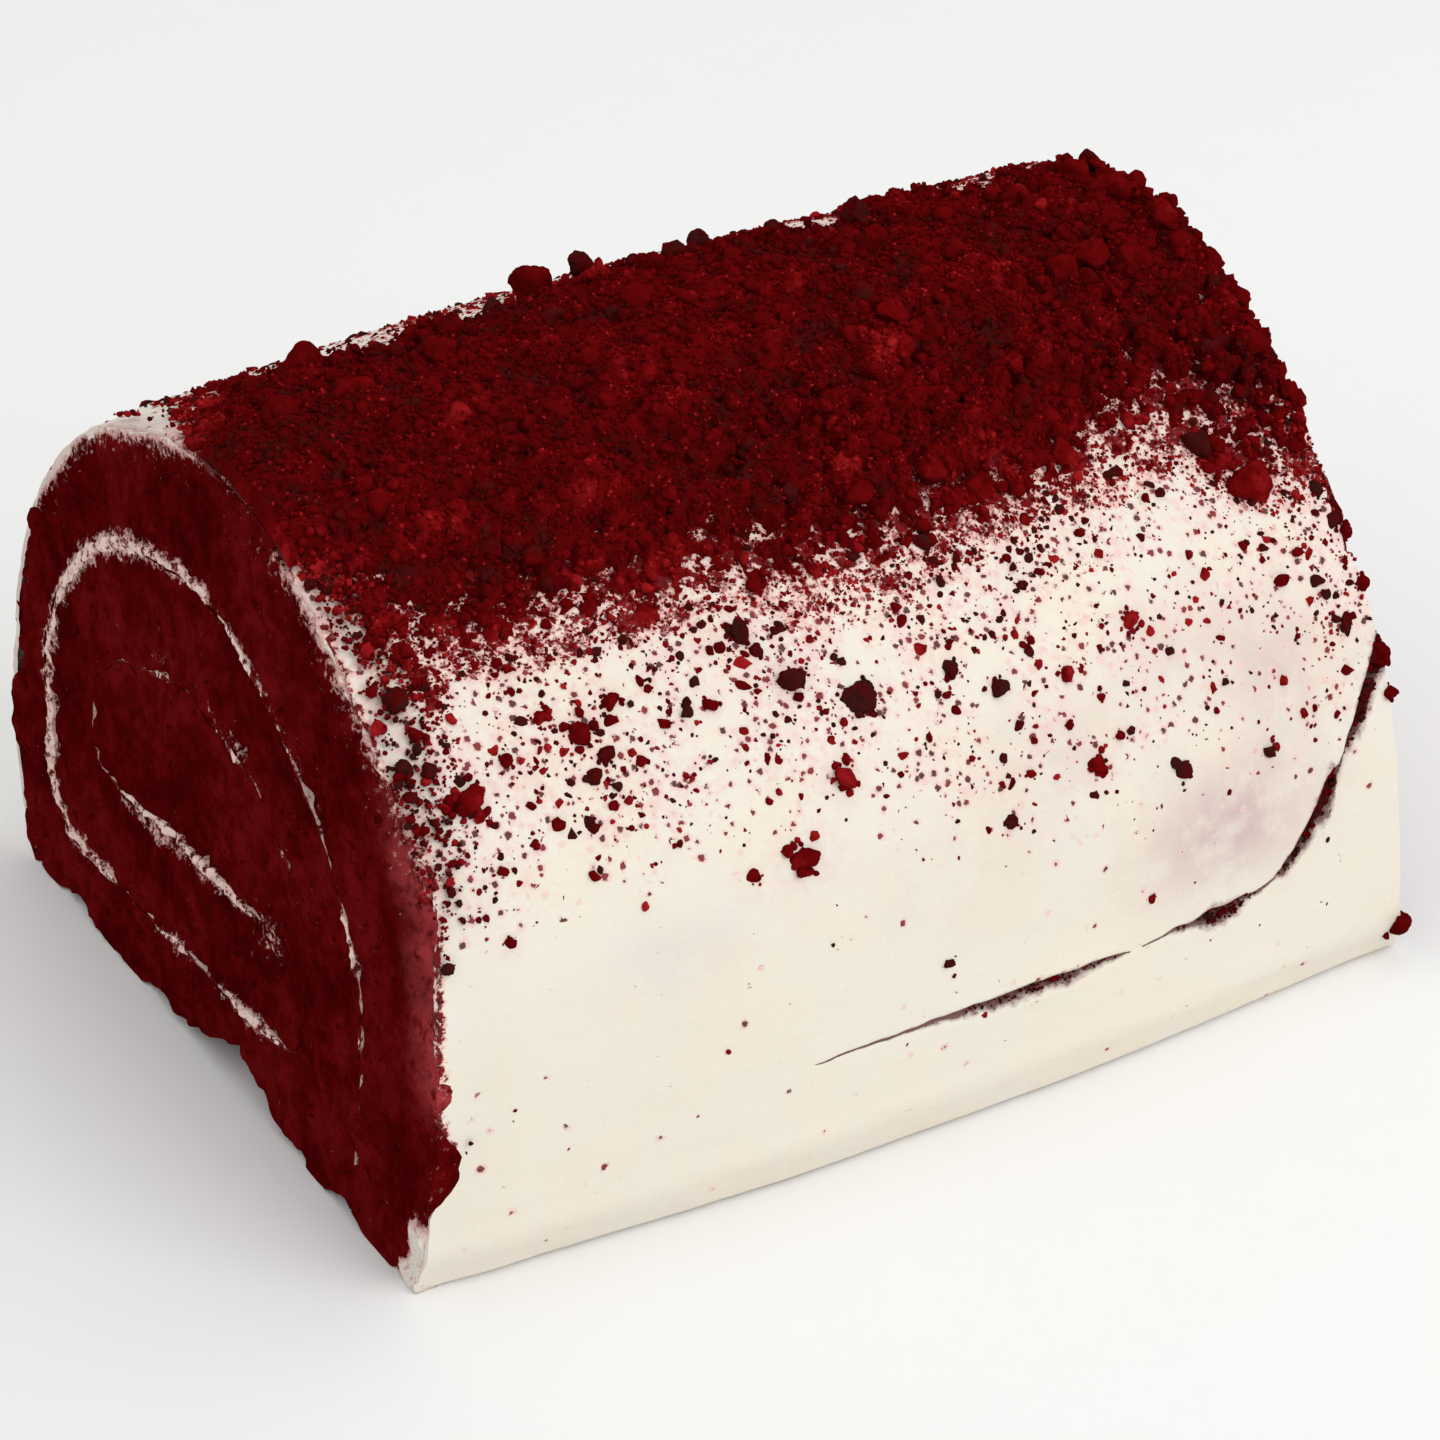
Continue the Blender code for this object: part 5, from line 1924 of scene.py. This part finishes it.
    def broken_lumps(self, rng: Draws) -> Array:
        """Breaks the lumps on the icing into a core and bits round it.

        Args:
            rng: Source of the draws.

        Returns:
            Distance, climb, radius and tone of each bit, one a row.
        """
        bits = []
        for lump in ICING_LUMPS:
            loose = lump.red and lump.radius > 1.2
            bits.append((lump.distance, lump.climb, lump.radius * (0.78 if loose else 0.9), lump.tone))
            for _ in range(11 if loose else 4):
                reach, turn = lump.radius * rng.uniform(0.45, 1.0), rng.uniform(0, TURN)
                radius = lump.radius * rng.uniform(0.14, 0.38)
                tone = np.clip(lump.tone + rng.normal(0, 0.12), 0, 1)
                d, c = lump.distance + reach * math.cos(turn), lump.climb + reach * math.sin(turn)
                bits.append((d, c, radius, tone))
        found = np.array(bits)
        found[:, 0] = np.clip(found[:, 0], 0.3, 109.9)
        return found

    def lump_mesh(self) -> Mesh:
        """Makes the crumbs that stand out, on the bed and on the icing.

        Returns:
            Their mesh.
        """
        rng = np.random.default_rng(self.lump_seed)
        fine, coarse, plain = (CrumbShapes(fineness, 12, 38 + fineness, 0.12) for fineness in (4, 3, 2))
        mesh = Mesh("tone")
        named = np.array(TOP_LUMPS)
        extra = self.more_lumps(rng)
        d, c, r, tone = np.concatenate([named, extra]).T
        buried = between(extra[:, 2], ((1.0, 0.8), (3.0, 1.45))) + rng.uniform(-0.15, 0.15, len(extra))
        standing = np.where((named[:, 1] > 108) & (named[:, 2] < 3), 0.3, 0.5 + 0.1 * named[:, 2])
        spots = Spots.at(d, c)
        top = Strewn(spots, r * MM, tone, self.bed_top(spots), np.concatenate([standing, buried]))
        big = top.radius > 2.3 * MM
        coarse.lay(mesh, self.roll, top.of(~big))
        fine.lay(mesh, self.roll, top.of(big))
        d, c, r, tone = self.broken_lumps(rng).T
        spots = Spots.at(d, c)
        bits = Strewn(spots, r * MM, tone, self.coat.lift(spots), np.full(len(d), 0.75))
        big, small = bits.radius > 1.3 * MM, bits.radius < 0.6 * MM
        for shapes, some in ((plain, small), (coarse, ~big & ~small), (fine, big)):
            shapes.lay(mesh, self.roll, bits.of(some))
        return mesh

    def draw(self, rng: Draws, count: int, share: Field, low: float, high: float) -> Spots:
        """Draws places where a share is high.

        Args:
            rng: Source of the draws.
            count: How many places.
            share: Gives the chance of each of many spots.
            low: Least climb in millimetres.
            high: Greatest climb in millimetres.

        Returns:
            The places.
        """
        kept: list[Spots] = []
        while sum(len(spots) for spots in kept) < count:
            distance = rng.uniform(*self.drawn_between, 4 * count)
            spots = Spots.at(distance, rng.uniform(low, high, 4 * count))
            kept.append(spots.of(rng.random(4 * count) < share(spots)))
        distance = np.concatenate([spots.distance for spots in kept])
        return Spots(distance[:count], np.concatenate([spots.climb for spots in kept])[:count])

    def deep(self, spots: Spots) -> Array:
        """Where the bed is deep enough for small lumps."""
        return self.blanket.solid(spots) * (self.blanket.depth(spots) > 0.5)

    def piled(self, spots: Spots) -> Array:
        """How thickly grains lie on the bed."""
        return self.blanket.cover(spots) ** 2

    def fallen(self, spots: Spots) -> Array:
        """How thickly specks lie on the bare icing, down to a level behind the roll."""
        bare = (1 - self.blanket.solid(spots)) * (spots.climb < 140 * MM)
        return self.blanket.sprinkled(spots) * bare

    def edge_share(self, spots: Spots) -> Array:
        """How thickly fine crumbs lie round the edge of the bed, in small patches."""
        patches = np.clip(SCATTER.on(spots, (0.9, 2.6, 17), (0.7, 1.2, 18), base=0.5), 0.04, 1)
        return patches * rise(self.blanket.cover(spots), 0.05, 0.5) * (1 - 0.85 * self.blanket.solid(spots))

    def strew(self, mesh: Mesh, rng: Draws, sort: Sort, share: Field, tone: Field, lift: Field) -> None:
        """Lays crumbs of a sort.

        Args:
            mesh: Where they go.
            rng: Source of the draws.
            sort: What they are like.
            share: Gives the chance of each of many spots.
            tone: Gives what their tones are added to.
            lift: Gives the heights that they lie at.
        """
        spots = self.draw(rng, sort.count, share, *sort.climbs)
        count = len(spots)
        radius = rng.uniform(*sort.radii, count) * MM
        tones = np.clip(tone(spots) + rng.normal(*sort.tone, count), *sort.tones)
        crumbs = Strewn(spots, radius, tones, lift(spots), rng.uniform(*sort.sinks, count))
        CrumbShapes(*sort.shapes).lay(mesh, self.roll, crumbs)

    def bed_top(self, spots: Spots) -> Array:
        """Height of the bed over the skin, or 0 where it is under it."""
        return np.maximum(self.bed_height(spots), 0.0)

    def no_tone(self, spots: Spots) -> Array:
        """Zeros, for crumbs whose tone doesn't follow the bed's."""
        return np.zeros(len(spots))

    def top(self, spots: Spots) -> Array:
        """Height over the skin of the bed or the icing, whichever is higher."""
        return np.maximum(self.bed_height(spots), self.coat.lift(spots))

    def radii(self, rng: Draws, count: int, middle: float, spread: float, limits: Range) -> Array:
        """Draws radii round a middle one, of which a few are much larger."""
        return np.clip(np.exp(rng.normal(math.log(middle), spread, count)), *limits) * MM

    def fringe_mesh(self, rng: Draws) -> Mesh:
        """Makes the crumbs down the far rim and the fine ones round the edge of the bed.

        Args:
            rng: Source of the draws.

        Returns:
            Their mesh.
        """
        mesh = Mesh("tone", soft=False)
        count = self.rim_crumbs
        climb = rng.uniform(*self.rim_climbs, count) * MM
        rim = Spots((109.7 - rng.exponential(0.5, count)) * MM, climb)
        radius = self.radii(rng, count, *self.rim_radii)
        tone = np.clip(self.bed_tone_and_crease_shade(rim) + rng.normal(0.05, 0.1, count), 0.1, 0.9)
        crumbs = Strewn(rim, radius, tone, self.coat.lift(rim), rng.uniform(0.4, 1.3, count))
        CrumbShapes(1, 12, 48, 0.14).lay(mesh, self.roll, crumbs)
        self.strew(mesh, rng, self.fringe, self.edge_share, self.no_tone, self.top)
        return mesh

    def in_crack(self, rng: Draws) -> Strewn:
        """Scatters crumbs along the crack, more of them where it is wide.

        Args:
            rng: Source of the draws.

        Returns:
            The crumbs.
        """
        distance = np.sort(rng.uniform(54, 110, 8 * self.crack_crumbs)) * MM
        distance = distance[rng.random(len(distance)) < self.coat.crack_half(distance) / (1.2 * MM)]
        count = len(distance)
        half = self.coat.crack_half(distance)
        climb = self.coat.seam(distance) + (half + 0.15 * MM) * rng.normal(0, 0.9, count)
        radius = np.clip(half * rng.uniform(0.2, 0.5, count), 0.16 * MM, 0.6 * MM)
        tone = np.where(rng.random(count) < 0.25, 0.45, 0.08)
        spots = Spots(np.minimum(distance, self.right_end), climb)
        return Strewn(spots, radius, tone, self.coat.lift(spots) - 0.1 * MM, np.full(count, 0.9))

    def speck_mesh(self, rng: Draws) -> tuple[Mesh, Strewn]:
        """Makes the crumbs that are sprinkled on the icing and caught in its crack.

        Args:
            rng: Source of the draws.

        Returns:
            Their mesh, and the sprinkled ones.
        """
        spots = self.draw(rng, self.specks, self.fallen, 8, 150)
        count = len(spots)
        radius = self.radii(rng, count, *self.speck_radii)
        tone = np.where(rng.random(count) < 0.4, rng.uniform(0, 0.15, count), rng.uniform(0.4, 0.95, count))
        specks = Strewn(spots, radius, tone, self.coat.lift(spots), rng.uniform(0.7, 1.1, count))
        big = radius > 0.6 * MM
        mesh = Mesh("tone")
        CrumbShapes(1, 12, 45, 0.15).lay(mesh, self.roll, specks.of(~big))
        shapes = CrumbShapes(2, 12, 45, 0.15)
        shapes.lay(mesh, self.roll, specks.of(big))
        shapes.lay(mesh, self.roll, self.in_crack(rng))
        return mesh, specks

    def dot_mesh(self, rng: Draws, specks: Strewn) -> Mesh:
        """Makes the finest crumbs, which lie round the specks.

        Args:
            rng: Source of the draws.
            specks: The sprinkled crumbs.

        Returns:
            Their mesh.
        """
        count = self.dots
        near = specks.of(rng.integers(0, len(specks.radius), count))
        spread = rng.normal(0, 0.85, (2, count)) * (near.radius + 0.35 * MM)
        distance = np.clip(near.spots.distance + spread[0], 0.5 * MM, self.right_end)
        spots = Spots(distance, near.spots.climb + spread[1])
        radius = self.radii(rng, count, *self.dot_radii)
        tone = np.clip(near.tone + rng.normal(0, 0.12, count), 0, 1)
        mesh = Mesh("tone", soft=False)
        crumbs = Strewn(spots, radius, tone, self.coat.lift(spots), rng.uniform(0.6, 1.0, count))
        CrumbShapes(0, 12, 46, 0.1).lay(mesh, self.roll, crumbs)
        return mesh

    def build(self) -> dict[str, Mesh]:
        """Makes all the crumbs, whose loose kinds share one source of draws.

        Returns:
            Their meshes, by the names of the pieces.
        """
        meshes = {"crumb_bed": self.bed_mesh(), "crumb_lumps": self.lump_mesh()}
        rng = np.random.default_rng(self.loose_seed)
        meshes["crumb_pebbles"] = Mesh("tone")
        self.strew(meshes["crumb_pebbles"], rng, self.pebbles, self.deep, self.bed_tone_and_crease_shade, self.bed_top)
        meshes["crumb_grains"] = Mesh("tone", soft=False)
        self.strew(meshes["crumb_grains"], rng, self.grains, self.piled, self.bed_tone_and_crease_shade, self.top)
        meshes["crumb_fringe"] = self.fringe_mesh(rng)
        meshes["crumb_specks"], specks = self.speck_mesh(rng)
        meshes["crumb_dots"] = self.dot_mesh(rng, specks)
        return meshes


@dataclass(frozen=True)
class Studio:
    """Pale floor, soft light from the front right, and the camera at the photograph's place.

    Each lamp has a name, a place, a power in watts and the length of its side.
    """

    azimuth: float = math.radians(30.4)
    elevation: float = math.radians(31.8)
    stand: Triple = (-0.19496, -0.33892, 0.26336)
    lens: float = 112.5
    floor_half: float = 3.0
    lamps: tuple[tuple[str, Triple, float, float], ...] = (
        ("key", (0.35, -0.75, 0.75), 4.0, 0.7),
        ("top", (0.1, 0.1, 1.1), 1.2, 0.9),
    )
    aimed_at: Triple = (0.0, 0.0, 0.03)
    world: float = 0.70

    def add(self, name: str, data: bpy.types.ID) -> Piece:
        """Puts a new object in the scene."""
        thing = bpy.data.objects.new(name, data)
        bpy.context.scene.collection.objects.link(thing)
        return thing

    def aim(self, ahead: Vector) -> Euler:
        """Turn of a lamp or camera that looks along a direction."""
        return ahead.to_track_quat("-Z", "Y").to_euler()

    def floor(self) -> None:
        """Makes the floor."""
        bm = bmesh.new()
        bmesh.ops.create_grid(bm, x_segments=2, y_segments=2, size=self.floor_half)
        mesh = bpy.data.meshes.new("floor")
        bm.to_mesh(mesh)
        bm.free()
        mesh.materials.append(FloorFinish().make())
        self.add("floor", mesh)

    def light(self, name: str, place: Triple, power: float, size: float) -> None:
        """Hangs a square soft light that looks at the roll.

        Args:
            name: Its name.
            place: Where it hangs.
            power: Its power in watts.
            size: Its side.
        """
        data = bpy.data.lights.new(name, "AREA")
        data.energy = power
        data.size = size
        lamp = self.add(name, data)
        lamp.location = place
        lamp.rotation_euler = self.aim(Vector(self.aimed_at) - Vector(place))

    def camera(self, shift: Array) -> None:
        """Sets up the camera.

        Args:
            shift: How far the roll's form was moved onto the origin.
        """
        data = bpy.data.cameras.new("camera")
        data.lens = self.lens
        data.sensor_width = 36.0
        data.clip_start = 0.01
        camera = self.add("camera", data)
        camera.location = Vector(self.stand) + Vector(shift)
        turn, flat = self.azimuth, math.cos(self.elevation)
        ahead = Vector((math.sin(turn) * flat, math.cos(turn) * flat, -math.sin(self.elevation)))
        camera.rotation_euler = self.aim(ahead)
        bpy.context.scene.camera = camera

    def build(self, roll: Roll) -> None:
        """Sets the scene.

        Args:
            roll: The roll's form.
        """
        self.floor()
        for lamp in self.lamps:
            self.light(*lamp)
        self.camera(roll.shift)
        world = bpy.data.worlds.new("world")
        world.use_nodes = True
        background = world.node_tree.nodes["Background"]
        background.inputs["Color"].default_value = (1.0, 1.0, 1.0, 1.0)
        background.inputs["Strength"].default_value = self.world
        bpy.context.scene.world = world
        bpy.context.scene.view_settings.view_transform = "Standard"


def settle(name: str, mesh: Mesh, material: Material, node: str) -> None:
    """Makes a piece and ties it to the roll.

    Args:
        name: The piece's name.
        mesh: Its mesh.
        material: Its finish.
        node: The solid that it stands for.
    """
    piece = mesh.build(name, material)
    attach(piece, "root")
    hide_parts(node)
    LOG.info("%s: %d faces for %s", piece.name, len(piece.data.polygons), node)


def main() -> None:
    """Builds the roll's looks and the studio."""
    logging.basicConfig(level=logging.INFO, format="%(name)s %(message)s")
    Effects().build()
    roll, blanket = Roll(RollSizes()), Blanket()
    spiral, coat = CreamSpiral(roll), IcingCoat(roll, blanket)
    sponge, cream, icing, crumb = (
        finish().make() for finish in (SpongeFinish, CreamFinish, IcingFinish, CrumbFinish)
    )
    settle("sponge_roll", SpongeRoll(roll, spiral).build(), sponge, "sponge")
    settle("cream_spiral", spiral.build(), cream, "cream_filling")
    settle("icing_coat", coat.build(), icing, "icing")
    for name, mesh in Crumbs(roll, blanket, coat).build().items():
        settle(name, mesh, crumb, "crumb_topping")
    Studio().build(roll)


if __name__ == "__main__":
    main()
